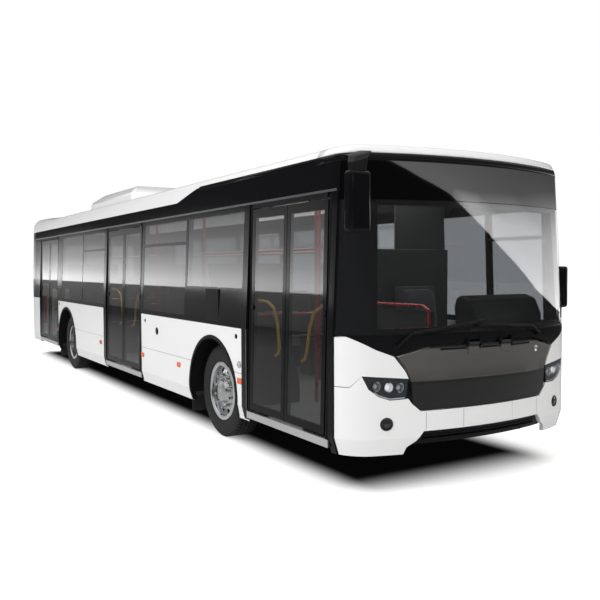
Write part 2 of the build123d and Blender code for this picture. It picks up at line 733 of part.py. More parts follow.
def lamp_blocks(gap):
    """Cutters of the two rear lamps, made smaller all round by a gap."""
    left = block(
        TAIL_CUT_X0,
        TAIL_CUT_X1,
        LAMP_REAR_Y0 + gap,
        LAMP_REAR_Y1 - gap,
        LAMP_REAR_Z0 + gap,
        LAMP_REAR_Z1 - gap,
    )
    return left + mirrored(left)


tail = tail_body(0.0) - tail_body(WALL_T)
tail_open = tail - tail_block(HATCH_HALF, HATCH_Z0, HATCH_Z1)
tail_open = tail_open - tail_block(REAR_PANE_HALF, REAR_PANE_Z0, REAR_PANE_Z1) - lamp_blocks(0.0)
tail_open = tail_open - hinge_room(
    HATCH_HINGE_X, HATCH_HINGE_Z, HATCH_SPOTS, HATCH_ROOM, HINGE_CLEAR
)
hatch_pins = hinge_pins(
    HATCH_HINGE_X, HATCH_HINGE_Z, HATCH_SPOTS, REAR_X + WALL_T / 2, HATCH_HINGE_Z + 4 * HINGE_R
)
save("tail", tail_open + hatch_pins)

hatch = tail & tail_block(HATCH_HALF - HATCH_GAP, HATCH_Z0 + HATCH_GAP, HATCH_Z1 - HATCH_GAP)
hatch = hatch - hinge_room(HATCH_HINGE_X, HATCH_HINGE_Z, HATCH_SPOTS, LUG_SPAN, LUG_CLEAR)
save("engine_hatch", hatch + barrels(HATCH_HINGE_X, HATCH_HINGE_Z, HATCH_SPOTS, 4 * HINGE_R))
rear_pane = tail_block(REAR_PANE_HALF - FIT, REAR_PANE_Z0 + FIT, REAR_PANE_Z1 - FIT)
save("window_glass", *panes, (tail_body(PANE_INSET) - tail_body(PANE_T)) & rear_pane)
save("rear_lamps", (tail_body(0.0) - tail_body(WALL_T - SEAM)) & lamp_blocks(LAMP_REAR_GAP))

# Floor, with room for the wheels and a sill at each doorway, and the boxes over the wheels
SILL_OUT = 10.0
WELLS = [
    {"x": AXLE_F, "radius": ARCH_R_F, "inner": BOX_IN_F},
    {"x": AXLE_R, "radius": ARCH_R_R, "inner": BOX_IN_R},
]
floor = block(TAIL_FRONT_X, PILLAR_X1, -INNER_Y, INNER_Y, FLOOR_LOW, FLOOR_TOP)
for door in DOORWAYS.values():
    floor = floor + block(
        door["jamb0"], door["jamb1"], -HALF_W + SILL_OUT, 0, FLOOR_LOW, FLOOR_TOP
    )
boxes = []
for well in WELLS:
    room_y0 = well["inner"] + BOX_T
    reach = well["radius"] + BOX_T
    x0, x1 = well["x"] - well["radius"], well["x"] + well["radius"]
    hole = block(x0, x1, room_y0, HALF_W, FLOOR_LOW - 1, FLOOR_TOP + 1)
    floor = floor - hole - mirrored(hole)
    wide = INNER_Y - well["inner"]
    outer = drum("Y", (well["x"], well["inner"] + wide / 2, ARCH_Z), reach, wide)
    outer = outer + block(x0 - BOX_T, x1 + BOX_T, well["inner"], INNER_Y, FLOOR_TOP, ARCH_Z)
    wide = HALF_W - room_y0
    inner = drum("Y", (well["x"], room_y0 + wide / 2, ARCH_Z), well["radius"], wide)
    inner = inner + block(x0, x1, room_y0, HALF_W, 0, ARCH_Z)
    above = block(x0 - BOX_T, x1 + BOX_T, 0, HALF_W, FLOOR_TOP, ARCH_Z + 2 * reach)
    box = (outer - inner) & above
    boxes = boxes + [box, mirrored(box)]
save("wheel_boxes", *boxes)

# Underframe: two rails notched over the axles, with a tow eye, and cross members between them
RAIL_X0 = REAR_X + 490.0
RAIL_X1 = NOSE_X - 680.0
RAIL_LOW = FLOOR_LOW - RAIL_H
NOTCH_Z = FLOOR_LOW - NOTCH_T
CROSS_HALF = HALF_W - 145.0
CROSS_W = 60.0
CROSS_H = 70.0
JACK_R = 60.0
JACK_T = 20.0
JACK_Y = CROSS_HALF - 230.0
JACK_Z = FLOOR_LOW - CROSS_H - JACK_T
JACK_X_F = AXLE_F - 770.0
JACK_X_R = AXLE_R + 1030.0
CROSS_X = [
    AXLE_R - 2470.0,
    AXLE_R - 1470.0,
    AXLE_R - 770.0,
    JACK_X_R,
    MID_X - 0.15 * WHEELBASE,
    MID_X + 0.04 * WHEELBASE,
    MID_X + 0.23 * WHEELBASE,
    JACK_X_F,
    AXLE_F + 830.0,
    AXLE_F + 1730.0,
]
TOW_X = RAIL_X1
TOW_LEN = 180.0
TOW_REACH = 110.0
TOW_HALF = 60.0
TOW_R = 30.0
TOW_T = 40.0
RAIL_IN = RAIL_Y - RAIL_W / 2
RAIL_OUT = RAIL_Y + RAIL_W / 2
left_rail = block(RAIL_X0, RAIL_X1, RAIL_IN, RAIL_OUT, RAIL_LOW, FLOOR_LOW)
left_rail = left_rail - block(AXLE_F - AXLE_GAP_BACK, AXLE_F + AXLE_GAP, 0, HALF_W, 0, NOTCH_Z)
left_rail = left_rail - block(AXLE_R - REAR_GAP, AXLE_R + REAR_GAP, 0, HALF_W, 0, NOTCH_Z)
tow_eye = block(
    TOW_X, TOW_X + TOW_LEN, -RAIL_Y - TOW_HALF, -RAIL_Y + TOW_HALF, FLOOR_LOW - TOW_T, FLOOR_LOW
)
tow_bore = drum("Z", (TOW_X + TOW_REACH, -RAIL_Y, FLOOR_LOW), TOW_R, 4 * TOW_T)
save("underframe", left_rail, mirrored(left_rail) + tow_eye - tow_bore)

crosses = []
for x in CROSS_X:
    x0, x1 = x - CROSS_W / 2, x + CROSS_W / 2
    crosses.append(block(x0, x1, -RAIL_IN, RAIL_IN, FLOOR_LOW - CROSS_H, FLOOR_LOW))
    outrigger = block(x0, x1, RAIL_OUT, CROSS_HALF, FLOOR_LOW - CROSS_H, FLOOR_LOW)
    if x in (JACK_X_F, JACK_X_R):
        pad = drum("Z", (x, JACK_Y, (JACK_Z + FLOOR_LOW) / 2), JACK_R, FLOOR_LOW - JACK_Z)
        outrigger = outrigger + pad
    crosses = crosses + [outrigger, mirrored(outrigger)]
save("cross_members", *crosses)

# Wheels: profiles are (offset from the wheel plane, radius)
BEAD_R = LIP_R + 3.0
FLANK_R = LIP_R + 8.0
FLANK_IN = 18.0
BULGE_R = 378.0
SHOULDER_R = 452.0
SHOULDER_IN = 22.0
TREAD_IN = 45.0
HAND_HOLES = 10
HAND_R = 26.0
HAND_CIRCLE = 218.0
DISC_R = RIM_R - RIM_T / 2
DISC_Y = -TWIN_SPACING / 2
DISC_T = 28.0


def spun(points):
    """Ring or disc turned about the Y axis from its profile."""
    outline = make_face(Polyline(*[(0, a, b) for a, b in points], close=True))
    return revolve(outline, axis=Axis.Y)


def tyre(y):
    """Tyre centred on a wheel plane."""
    half = TYRE_W / 2
    left = [
        (-RIM_HALF, RIM_R),
        (-RIM_HALF, BEAD_R),
        (-half + FLANK_IN, FLANK_R),
        (-half, BULGE_R),
        (-half + SHOULDER_IN, SHOULDER_R),
        (-half + TREAD_IN, TYRE_R),
    ]
    right = [(-a, r) for a, r in reversed(left)]
    return spun([(y + a, r) for a, r in left + right])


def barrel(y):
    """Rim barrel with a lip each side."""
    left = [
        (-RIM_HALF - LIP_T, RIM_R - RIM_T),
        (-RIM_HALF - LIP_T, LIP_R),
        (-RIM_HALF - FIT, LIP_R),
        (-RIM_HALF - FIT, RIM_R - FIT),
    ]
    right = [(-a, r) for a, r in reversed(left)]
    return spun([(y + a, r) for a, r in left + right])


def hand_holes(y0, y1):
    """Ring of hand holes through a wheel disc."""
    turns = [2 * pi * i / HAND_HOLES for i in range(HAND_HOLES)]
    return joined(
        [
            drum("Y", (HAND_CIRCLE * cos(a), (y0 + y1) / 2, HAND_CIRCLE * sin(a)), HAND_R, y1 - y0)
            for a in turns
        ]
    )


FRONT_HUB_Y = 138.0
FRONT_DISC = [
    (-30, SPINDLE_R + FIT),
    (-30, 95),
    (62, 110),
    (70, 165),
    (38, 262),
    (20, DISC_R),
    (36, DISC_R),
    (56, 266),
    (86, 168),
    (88, 130),
    (128, 108),
    (136, 60),
    (FRONT_HUB_Y, 0),
    (75, 0),
    (75, SPINDLE_R + FIT),
]
REAR_DISC = [
    (DISC_Y - 120, REAR_SPINDLE_R + FIT),
    (DISC_Y - 120, 120),
    (DISC_Y - DISC_T / 2, 130),
    (DISC_Y - DISC_T / 2, 262),
    (DISC_Y - 60, DISC_R),
    (DISC_Y + 60, DISC_R),
    (DISC_Y + DISC_T / 2, 262),
    (DISC_Y + DISC_T / 2, 150),
    (10, 125),
    (34, 70),
    (36, 0),
    (DISC_Y + 20, 0),
    (DISC_Y + 20, REAR_SPINDLE_R + FIT),
]
front_rim = (barrel(0) + spun(FRONT_DISC)) - hand_holes(0, FRONT_HUB_Y - DISC_T)
rear_rim = barrel(0) + barrel(-TWIN_SPACING) + spun(REAR_DISC)
rear_rim = rear_rim - hand_holes(DISC_Y - 1.5 * DISC_T, DISC_Y + 1.5 * DISC_T)
front_place = Pos(AXLE_F, TRACK_Y, TYRE_R)
rear_place = Pos(AXLE_R, TRACK_Y, TYRE_R)
WHEEL_PARTS = {
    "front_tyre": [front_place * tyre(0)],
    "front_rim": [front_place * front_rim],
    "rear_tyres": [rear_place * tyre(0), rear_place * tyre(-TWIN_SPACING)],
    "rear_rims": [rear_place * rear_rim],
}
for name, solids in WHEEL_PARTS.items():
    save(f"{name}_left", *solids)
    save(f"{name}_right", *[mirrored(solid) for solid in solids])

# Front axle beam with a kingpin eye at each end and a short link to each rail
EYE_R = 58.0
EYE_HALF = 70.0
BEAM_HALF = 48.0
BEAM_Z0 = 175.0
BEAM_Z1 = 275.0
BEAM_OUTLINE = [
    (0, BEAM_Z0),
    (KINGPIN_Y - 285, BEAM_Z0),
    (KINGPIN_Y - 135, TYRE_R - EYE_HALF),
    (KINGPIN_Y, TYRE_R - EYE_HALF),
    (KINGPIN_Y, TYRE_R + EYE_HALF),
    (KINGPIN_Y - 155, TYRE_R + EYE_HALF),
    (KINGPIN_Y - 315, BEAM_Z1),
    (0, BEAM_Z1),
]
front_axle = prism("X", whole_outline(BEAM_OUTLINE), AXLE_F - BEAM_HALF, AXLE_F + BEAM_HALF)
for s in (1, -1):
    pin_place = (AXLE_F, s * KINGPIN_Y, TYRE_R)
    link_place = (AXLE_F + (BEAM_HALF + AXLE_GAP) / 2, s * RAIL_Y, LINK_Z)
    front_axle = front_axle + drum("Z", pin_place, EYE_R, 2 * EYE_HALF)
    front_axle = front_axle - drum("Z", pin_place, KINGPIN_R + FIT, 4 * EYE_HALF)
    front_axle = front_axle + drum("X", link_place, LINK_R, AXLE_GAP - BEAM_HALF)
save("front_axle", front_axle)

# Knuckles: forked lugs on the kingpin, spindle outwards, steering arm backwards
LUG_T = 34.0
LUG_GAP = 5.0
LUG_HALF = 50.0
LUG_OUT = 88.0
PLATE_T = 24.0
SPINDLE_END = TRACK_Y - KINGPIN_Y + 70.0
STEER_ARM_R = 15.0
STEER_EYE_R = 24.0
STEER_EYE_T = 30.0
BALL_R = 9.0
TIE_R = 16.0
TIE_EYE_R = 26.0
TIE_EYE_T = 36.0
TIE_DROP = 6.0
lug_z = EYE_HALF + LUG_GAP + LUG_T / 2
fork_z = lug_z + LUG_T / 2
arm_z = TIE_Z - TYRE_R + TIE_EYE_T / 2 + STEER_EYE_T / 2
knuckle = drum("Z", (0, 0, 0), KINGPIN_R, 2 * fork_z)
for z in (lug_z, -lug_z):
    knuckle = knuckle + drum("Z", (0, 0, z), LUG_HALF, LUG_T)
    knuckle = knuckle + block(-LUG_HALF, LUG_HALF, 0, LUG_OUT, z - LUG_T / 2, z + LUG_T / 2)
knuckle = knuckle + block(-LUG_HALF, LUG_HALF, LUG_OUT - PLATE_T, LUG_OUT, -fork_z, fork_z)
knuckle = knuckle + rod((0, LUG_OUT, 0), (0, SPINDLE_END, 0), SPINDLE_R)
arm_points = [(0, 0, -lug_z), (-ARM_BACK, 0, -lug_z), (-ARM_BACK, 0, arm_z)]
knuckle = knuckle + pipe(arm_points, STEER_ARM_R)
knuckle = knuckle + drum("Z", (-ARM_BACK, 0, arm_z), STEER_EYE_R, STEER_EYE_T)
ball_low = TIE_Z - TYRE_R - TIE_EYE_T / 2 - TIE_DROP
knuckle = knuckle + rod((-ARM_BACK, 0, ball_low), (-ARM_BACK, 0, arm_z), BALL_R)
left_knuckle = Pos(AXLE_F, KINGPIN_Y, TYRE_R) * knuckle
save("left_knuckle", left_knuckle)
save("right_knuckle", mirrored(left_knuckle))

tie_x = AXLE_F - ARM_BACK
tie_z = TIE_Z - TIE_DROP
tie = rod((tie_x, -KINGPIN_Y, tie_z), (tie_x, KINGPIN_Y, tie_z), TIE_R)
for s in (1, -1):
    tie = tie + drum("Z", (tie_x, s * KINGPIN_Y, tie_z), TIE_EYE_R, TIE_EYE_T)
    tie = tie - drum("Z", (tie_x, s * KINGPIN_Y, tie_z), BALL_R + FIT, 2 * TIE_EYE_T)
save("tie_rod", tie)

# Rear portal axle
AXLE_END_Y = TWIN_IN_Y - 10.0
PORTAL_W = 72.0
PORTAL_Z0 = 185.0
PORTAL_Z1 = 310.0
PORTAL_TOP = 600.0
PORTAL_OUTLINE = [
    (0, PORTAL_Z0),
    (AXLE_END_Y - PORTAL_W, PORTAL_Z0),
    (AXLE_END_Y, PORTAL_Z0 + PORTAL_W),
    (AXLE_END_Y, PORTAL_TOP),
    (AXLE_END_Y - PORTAL_W, PORTAL_TOP),
    (AXLE_END_Y - PORTAL_W, PORTAL_Z1),
    (0, PORTAL_Z1),
]
rear_axle = prism("X", whole_outline(PORTAL_OUTLINE), AXLE_R - REAR_BEAM_HALF, AXLE_R + REAR_BEAM_HALF)
spindle_root = AXLE_END_Y - PORTAL_W / 2
spindle_tip = TRACK_Y + DISC_Y + DISC_T / 2
for s in (1, -1):
    link_place = (AXLE_R + (REAR_BEAM_HALF + REAR_GAP) / 2, s * RAIL_Y, REAR_LINK_Z)
    rear_axle = rear_axle + drum("X", link_place, 2 * LINK_R, REAR_GAP - REAR_BEAM_HALF)
    rear_axle = rear_axle + rod(
        (AXLE_R, s * spindle_root, TYRE_R), (AXLE_R, s * spindle_tip, TYRE_R), REAR_SPINDLE_R
    )
save("rear_axle", rear_axle)

# Engine, one plain block in the left rear corner
ENGINE_LEN = 1300.0
ENGINE_Y0 = 200.0
ENGINE_Y1 = HALF_W - 155.0
ENGINE_TOP = 1480.0
save(
    "engine_block",
    block(TAIL_FRONT_X, TAIL_FRONT_X + ENGINE_LEN, ENGINE_Y0, ENGINE_Y1, FLOOR_TOP, ENGINE_TOP),
)

# Doors: each leaf is carried by arms on an upright post beside it
LEAF_TOP = WINDOW_TOP_Z - FLOOR_TOP - LEAF_TOP_DROP
POST_TOP = WINDOW_TOP_Z - FLOOR_TOP - 8.0
POST_LOW = 4.0
PIVOT_R = 12.0
PIVOT_DEPTH = 26.0
PIVOT_END_GAP = 2.0
COLLAR_R = ARM_W / 2 + 4.0
TOP_ARM_Z = LEAF_TOP + ARM_GAP
LOW_ARM_Z = LEAF_BOTTOM - ARM_GAP - ARM_T


def door_place(x):
    """Placement of a door post's own frame, leaning with the side of the bus."""
    return Location((x, -DOOR_Y, FLOOR_TOP), (-DOOR_TILT, 0, 0))


def door_set(name, x, way, reach):
    """One leaf with its glass and post; way is the direction from post to meeting edge."""
    pin_x = way * reach
    arm_ends = sorted((0.0, pin_x))
    pin_spans = [(TOP_ARM_Z - PIN_LEN, TOP_ARM_Z + ARM_T), (LOW_ARM_Z, LOW_ARM_Z + ARM_T + PIN_LEN)]
    post = rod((0, 0, POST_LOW), (0, 0, POST_TOP), POST_R)
    post = post + rod((0, 0, -PIVOT_DEPTH), (0, 0, POST_LOW), PIVOT_R)
    for z in (TOP_ARM_Z, LOW_ARM_Z):
        post = post + block(arm_ends[0], arm_ends[1], -ARM_W / 2, ARM_W / 2, z, z + ARM_T)
        post = post + rod((pin_x, 0, z), (pin_x, 0, z + ARM_T), ARM_W / 2)
        post = post + rod((0, 0, z), (0, 0, z + ARM_T), COLLAR_R)
    for z0, z1 in pin_spans:
        post = post + rod((pin_x, 0, z0), (pin_x, 0, z1), PIN_R)

    x0, x1 = sorted((way * LEAF_GAP, way * (2 * reach - LEAF_MEET)))
    z0, z1 = LEAF_BOTTOM + RAIL_BOTTOM_W, LEAF_TOP - RAIL_TOP_W
    face = -LEAF_T / 2 + PANE_INSET
    leaf = block(x0, x1, -LEAF_T / 2, LEAF_T / 2, LEAF_BOTTOM, LEAF_TOP)
    leaf = leaf - block(x0 + STILE_W, x1 - STILE_W, -LEAF_T, LEAF_T, z0, z1)
    for low, high in pin_spans:
        leaf = leaf - rod((pin_x, 0, low - PIN_END_GAP), (pin_x, 0, high + PIN_END_GAP), PIN_R + FIT)
    edge = STILE_W + FIT
    pane = block(x0 + edge, x1 - edge, face, face + PANE_T, z0 + FIT, z1 - FIT)
    for part, shape in (("post", post), ("leaf", leaf), ("glass", pane)):
        save(f"{name}_{part}", door_place(x) * shape)


for name, door in DOORWAYS.items():
    reach = ((door["jamb1"] - door["jamb0"]) / 2 - POST_INSET) / 2
    posts = {"a": (door["jamb0"] + POST_INSET, 1), "b": (door["jamb1"] - POST_INSET, -1)}
    for leaf, (x, way) in posts.items():
        door_set(f"{name}_door_{leaf}", x, way, reach)
        socket = rod((0, 0, -PIVOT_DEPTH - PIVOT_END_GAP), (0, 0, POST_LOW), PIVOT_R + FIT)
        floor = floor - door_place(x) * socket
save("floor", floor)

# Mirrors: arms are rows of points given back from the nose and out from the side
RIGHT_HEAD = {"back": 30.0, "out": 25.0, "z": 2235.0, "wide": 190.0, "high": 440.0, "deep": 95.0}
LEFT_HEAD = {"back": 410.0, "out": 60.0, "z": 1570.0, "wide": 130.0, "high": 390.0, "deep": 90.0}
RIGHT_ARM_R = 22.0
LEFT_ARM_R = 16.0
RIGHT_ARM = [
    {"back": 30.0, "out": 25.0, "z": 2435.0},
    {"back": 10.0, "out": 5.0, "z": 2555.0},
    {"back": 90.0, "out": -25.0, "z": 2600.0},
    {"back": 320.0, "out": -85.0, "z": 2690.0},
    {"back": 450.0, "out": -185.0, "z": 2720.0},
]
LEFT_ARM = [
    {"back": 410.0, "out": 60.0, "z": 1400.0},
    {"back": 405.0, "out": 55.0, "z": 1290.0},
    {"back": 440.0, "out": -13.0, "z": 1262.0},
]
MIRROR_RECESS = 7.0
MIRROR_RIM = 12.0


def beside(spot, side):
    """Point beside the nose, on the left or the right."""
    return (NOSE_X - spot["back"], side * (HALF_W + spot["out"]), spot["z"])


def mirror_head(head, side):
    """Mirror housing with rounded upright edges and a recessed face at the back."""
    wide, high, deep = head["wide"], head["high"], head["deep"]
    shell = Box(deep, wide, high)
    shell = fillet(shell.edges().filter_by(Axis.Z), deep * 0.3)
    shell = fillet(shell.faces().filter_by(Axis.X).sort_by(Axis.X)[-1].edges(), deep * 0.25)
    face = Box(2 * MIRROR_RECESS, wide - 2 * MIRROR_RIM, high - 2 * MIRROR_RIM)
    return Pos(*beside(head, side)) * (shell - Pos(-deep / 2, 0, 0) * face)


right_mirror = mirror_head(RIGHT_HEAD, -1) + pipe([beside(p, -1) for p in RIGHT_ARM], RIGHT_ARM_R)
right_mirror = right_mirror - nose_high(-FIT) - cap_body(-FIT)
left_mirror = mirror_head(LEFT_HEAD, 1) + pipe([beside(p, 1) for p in LEFT_ARM], LEFT_ARM_R)
left_mirror = left_mirror - wall_bar(CAP_BACK_X, NOSE_X, SILL_Z, WINDOW_TOP_Z, 1, -FIT)
save("mirrors", right_mirror, left_mirror)

# Wipers, drawn on the screen as (y, z)
WIPER_OUT = 26.0
WIPER_R = 9.0
WIPERS = [
    {"pivot": (-880, 1150), "elbow": (-770, 1245), "tip": (-60, 1330)},
    {"pivot": (620, 1195), "elbow": (520, 1262), "tip": (-140, 1300)},
]


def on_screen(spot, out):
    """Point just in front of the nose."""
    y = FACE_SCALE * spot[0]
    return (nose_x(y, spot[1]) + out, y, spot[1])


wipers = []
for wiper in WIPERS:
    middle = [(a + b) / 2 for a, b in zip(wiper["elbow"], wiper["tip"])]
    points = [on_screen(p, WIPER_OUT) for p in (wiper["pivot"], wiper["elbow"], middle, wiper["tip"])]
    root = rod(on_screen(wiper["pivot"], -2 * SCUTTLE_INSET), points[0], 2 * WIPER_R)
    wipers.append(pipe(points, WIPER_R) + root - nose_low(SCUTTLE_INSET - FIT))
save("wipers", *wipers)

# Driver's place: dash profile is (back from the nose, z)
DRIVER_Y = HALF_W - 655.0
CAB_X0 = AXLE_F + 860.0
CAB_X1 = NOSE_X - 480.0
CAB_Y0 = DRIVER_Y - 470.0
CAB_Y1 = INNER_Y - 65.0
CAB_T = 30.0
GATE_X1 = NOSE_X - 880.0
GATE_Z = 1350.0
CAB_WALL_Z = 1950.0
PLATFORM_Z = 560.0
DASH_Y0 = CAB_Y0 - 570.0
DASH_Y1 = DRIVER_Y + 320.0
DASH_GAP = 140.0
DASH_BACK = NOSE_X - nose_x(DASH_Y1, 0) + DASH_GAP
DASH_TOE = 130.0
DASH_PROFILE = [
    (DASH_BACK + DASH_TOE, FLOOR_TOP),
    (DASH_BACK, 700),
    (DASH_BACK, 1180),
    (630, 1150),
    (800, 1000),
    (680, 800),
    (480, 780),
    (480, FLOOR_TOP),
]
WHEEL_C = (NOSE_X - 840.0, DRIVER_Y, 1182.0)
WHEEL_TILT = 43.0
WHEEL_R = 215.0
WHEEL_RIM_R = 16.0
HUB_R = 50.0
HUB_T = 30.0
SPOKE_W = 34.0
SPOKE_T = 18.0
COLUMN_ROOT = (NOSE_X - 590.0, DRIVER_Y, 914.0)
COLUMN_R = 30.0
dash = prism("Y", [(NOSE_X - back, z) for back, z in DASH_PROFILE], DASH_Y0, DASH_Y1)
hub_low = HUB_T / 2 + FIT
column_tip = (
    WHEEL_C[0] + hub_low * sin(radians(WHEEL_TILT)),
    WHEEL_C[1],
    WHEEL_C[2] - hub_low * cos(radians(WHEEL_TILT)),
)
column = rod(COLUMN_ROOT, column_tip, COLUMN_R)
cab = block(CAB_X0, CAB_X1, CAB_Y0, CAB_Y1 + CAB_T, FLOOR_TOP, PLATFORM_Z)
cab = cab + block(CAB_X0, CAB_X0 + CAB_T, CAB_Y0, CAB_Y1, PLATFORM_Z, CAB_WALL_Z)
cab = cab + block(CAB_X0, GATE_X1, CAB_Y0, CAB_Y0 + CAB_T, PLATFORM_Z, GATE_Z)
steer = Torus(WHEEL_R, WHEEL_RIM_R) + Cylinder(HUB_R, HUB_T)
steer = steer + Box(2 * WHEEL_R, SPOKE_W, SPOKE_T) + Box(SPOKE_W, 2 * WHEEL_R, SPOKE_T)
steer = Pos(*WHEEL_C) * Rot(0, -WHEEL_TILT, 0) * steer
save("driver_cab", dash + column, cab, steer)

# Seats: along is a share of the wheelbase from its middle; raised pairs stand on the wheel boxes
SEAT_W = 880.0
SEAT_GAP = 115.0
SEAT_Y = HALF_W - SEAT_GAP - SEAT_W / 2
SEAT_H = 420.0
RAISED_H = 185.0
DRIVER_SEAT_W = 480.0
DRIVER_SEAT_H = 380.0
DRIVER_SEAT_X = NOSE_X - 1400.0
LEG_BACK = 150.0
LEG_FRONT = 100.0
SEAT_PROFILE = [(-250, -60), (230, -20), (220, 60), (-180, 30), (-260, 620), (-330, 620)]
FLOOR_SEATS = [
    {"along": -0.674, "side": 1},
    {"along": -0.316, "side": 1},
    {"along": -0.186, "side": 1},
    {"along": -0.268, "side": -1},
    {"along": -0.056, "side": 1},
    {"along": 0.074, "side": 1},
    {"along": 0.204, "side": 1},
    {"along": 0.253, "side": -1},
    {"along": 0.334, "side": 1},
]
box_tops = drum("Y", (AXLE_F, 0, ARCH_Z), ARCH_R_F + BOX_T + FIT, 2 * HALF_W)
box_tops = box_tops + drum("Y", (AXLE_R, 0, ARCH_Z), ARCH_R_R + BOX_T + FIT, 2 * HALF_W)


def seat(x, y, base, width, high):
    """Upright seat on a pedestal."""
    hip = base + high
    outline = [(x + a, hip + b) for a, b in SEAT_PROFILE]
    shape = prism("Y", outline, y - width / 2, y + width / 2)
    leg = block(x - LEG_BACK, x + LEG_FRONT, y - width / 4, y + width / 4, base, hip)
    return shape + leg - box_tops


seats = [seat(DRIVER_SEAT_X, DRIVER_Y, PLATFORM_Z, DRIVER_SEAT_W, DRIVER_SEAT_H)]
for row in FLOOR_SEATS:
    seat_x = MID_X + row["along"] * WHEELBASE
    seats.append(seat(seat_x, row["side"] * SEAT_Y, FLOOR_TOP, SEAT_W, SEAT_H))
for well in WELLS:
    base = ARCH_Z + well["radius"] - 40.0
    for s in (1, -1):
        seats.append(seat(well["x"], s * SEAT_Y, base, SEAT_W, RAISED_H))
save("seats", *seats)

# Grab poles between floor and ceiling
POLE_R = 17.0
POLE_BOX_GAP = 60.0
POLE_Y = BOX_IN_R - POLE_BOX_GAP
POLE_TOP = ROOF_Z - ROOF_T - 40.0
POLES = [
    {"x": DOORWAYS["rear"]["jamb1"] + 122.0, "side": -1},
    {"x": DOORWAYS["middle"]["jamb0"] - 112.0, "side": -1},
    {"x": DOORWAYS["middle"]["jamb1"] + 113.0, "side": -1},
    {"x": DOORWAYS["front"]["jamb0"] - 106.0, "side": -1},
    {"x": MID_X - 0.251 * WHEELBASE, "side": 1},
    {"x": MID_X + 0.139 * WHEELBASE, "side": 1},
    {"x": MID_X + 0.407 * WHEELBASE, "side": 1},
]
poles = []
for pole in POLES:
    foot = (pole["x"], pole["side"] * POLE_Y, FLOOR_TOP)
    poles.append(rod(foot, (foot[0], foot[1], POLE_TOP), POLE_R))
save("grab_poles", *poles)
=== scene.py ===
import bpy
import bmesh
import json
import math
from mathutils import Matrix, Vector


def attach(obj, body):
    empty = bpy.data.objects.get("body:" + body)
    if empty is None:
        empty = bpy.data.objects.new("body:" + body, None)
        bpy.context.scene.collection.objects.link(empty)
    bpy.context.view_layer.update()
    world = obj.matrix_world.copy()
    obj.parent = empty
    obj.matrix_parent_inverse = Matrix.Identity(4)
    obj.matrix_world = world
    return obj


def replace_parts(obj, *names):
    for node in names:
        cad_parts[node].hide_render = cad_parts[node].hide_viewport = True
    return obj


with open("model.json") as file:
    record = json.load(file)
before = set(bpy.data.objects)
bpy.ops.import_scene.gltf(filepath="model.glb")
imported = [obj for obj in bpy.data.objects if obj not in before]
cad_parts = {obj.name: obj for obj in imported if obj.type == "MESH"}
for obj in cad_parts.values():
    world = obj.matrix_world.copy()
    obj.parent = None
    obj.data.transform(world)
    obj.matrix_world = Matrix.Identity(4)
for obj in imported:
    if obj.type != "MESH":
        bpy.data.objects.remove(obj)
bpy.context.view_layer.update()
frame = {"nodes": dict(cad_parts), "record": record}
NODES = frame["nodes"]
scene = bpy.context.scene

# Sizes shared with the part, in metres
HALF_W = 1.275
NOSE_X = 5.88
REAR_X = -5.99
BOW_R = 3.2
TAIL_BOW_R = 9.0
SCUTTLE_Z = 1.235
SCREEN_TOP_Z = 2.6
SCREEN_RAKE = 0.09
SIGN_SEAM_Z = 2.283
SILL_Z = 1.18
WINDOW_TOP_Z = 2.35
TUMBLE = 0.052
TUCK_Z = 0.44
TUCK_SLOPE = 0.258
AXLE_F = 3.22
AXLE_R = -2.93
TYRE_R = 0.478
TRACK_Y = 1.045
TWIN = 0.325
FLOOR_TOP = 0.395
DOOR_Y = 1.253
ARCH_Z = 0.47
ARCH_F_R = 0.575
ARCH_R_R = 0.6
DOORS = {"rear": (-5.123, -3.622), "middle": (-0.578, 0.997), "front": (4.006, 5.408)}
BOTH = (1, -1)

RAKE_SLOPE = SCREEN_RAKE / (SCREEN_TOP_Z - SCUTTLE_Z)
WALL_TILT = math.atan2(TUMBLE, WINDOW_TOP_Z - SILL_Z)
DOOR_TILT = math.atan2(TUMBLE, WINDOW_TOP_Z - FLOOR_TOP)


def mixed(a, b, t):
    """Value that lies the share t of the way from a to b."""
    return a + (b - a) * t


def nose_x(y, z):
    """Front of the bus: a bow in plan, raked above the scuttle."""
    rake = RAKE_SLOPE * max(0.0, z - SCUTTLE_Z)
    return NOSE_X - rake - BOW_R + math.sqrt(BOW_R ** 2 - y ** 2)


def tail_x(y):
    """Back of the bus: a flat bow in plan."""
    return REAR_X + TAIL_BOW_R - math.sqrt(TAIL_BOW_R ** 2 - y ** 2)


def wall_y(z):
    """Half width of the side wall, which tucks in at the skirt and leans in above the sill."""
    if z < TUCK_Z:
        return HALF_W - TUCK_SLOPE * (TUCK_Z - z)
    if z <= SILL_Z:
        return HALF_W
    return HALF_W - TUMBLE * (z - SILL_Z) / (WINDOW_TOP_Z - SILL_Z)


# Shader nodes
NOISE_DETAIL = 3.0


def fill(tree, node, inputs):
    """Sets inputs of a node; each is a value or another node's output."""
    for key, value in inputs.items():
        if isinstance(value, bpy.types.NodeSocket):
            tree.links.new(value, node.inputs[key])
        else:
            node.inputs[key].default_value = value
    return node


def shader(tree, kind, inputs=None):
    """New shader node with the inputs given."""
    return fill(tree, tree.nodes.new("ShaderNode" + kind), inputs or {})


def shade(tree, kind, inputs=None):
    """First output of a new shader node."""
    return shader(tree, kind, inputs).outputs[0]


def math_node(tree, kind, first, second=0.0):
    node = shader(tree, "Math", {0: first, 1: second})
    node.operation = kind
    return node.outputs["Value"]


def ranged(tree, value, low, high, start, end, kind="LINEAR"):
    """Value mapped from the range low to high to the range start to end."""
    inputs = {"Value": value, "From Min": low, "From Max": high, "To Min": start, "To Max": end}
    node = shader(tree, "MapRange", inputs)
    node.interpolation_type = kind
    return node.outputs["Result"]


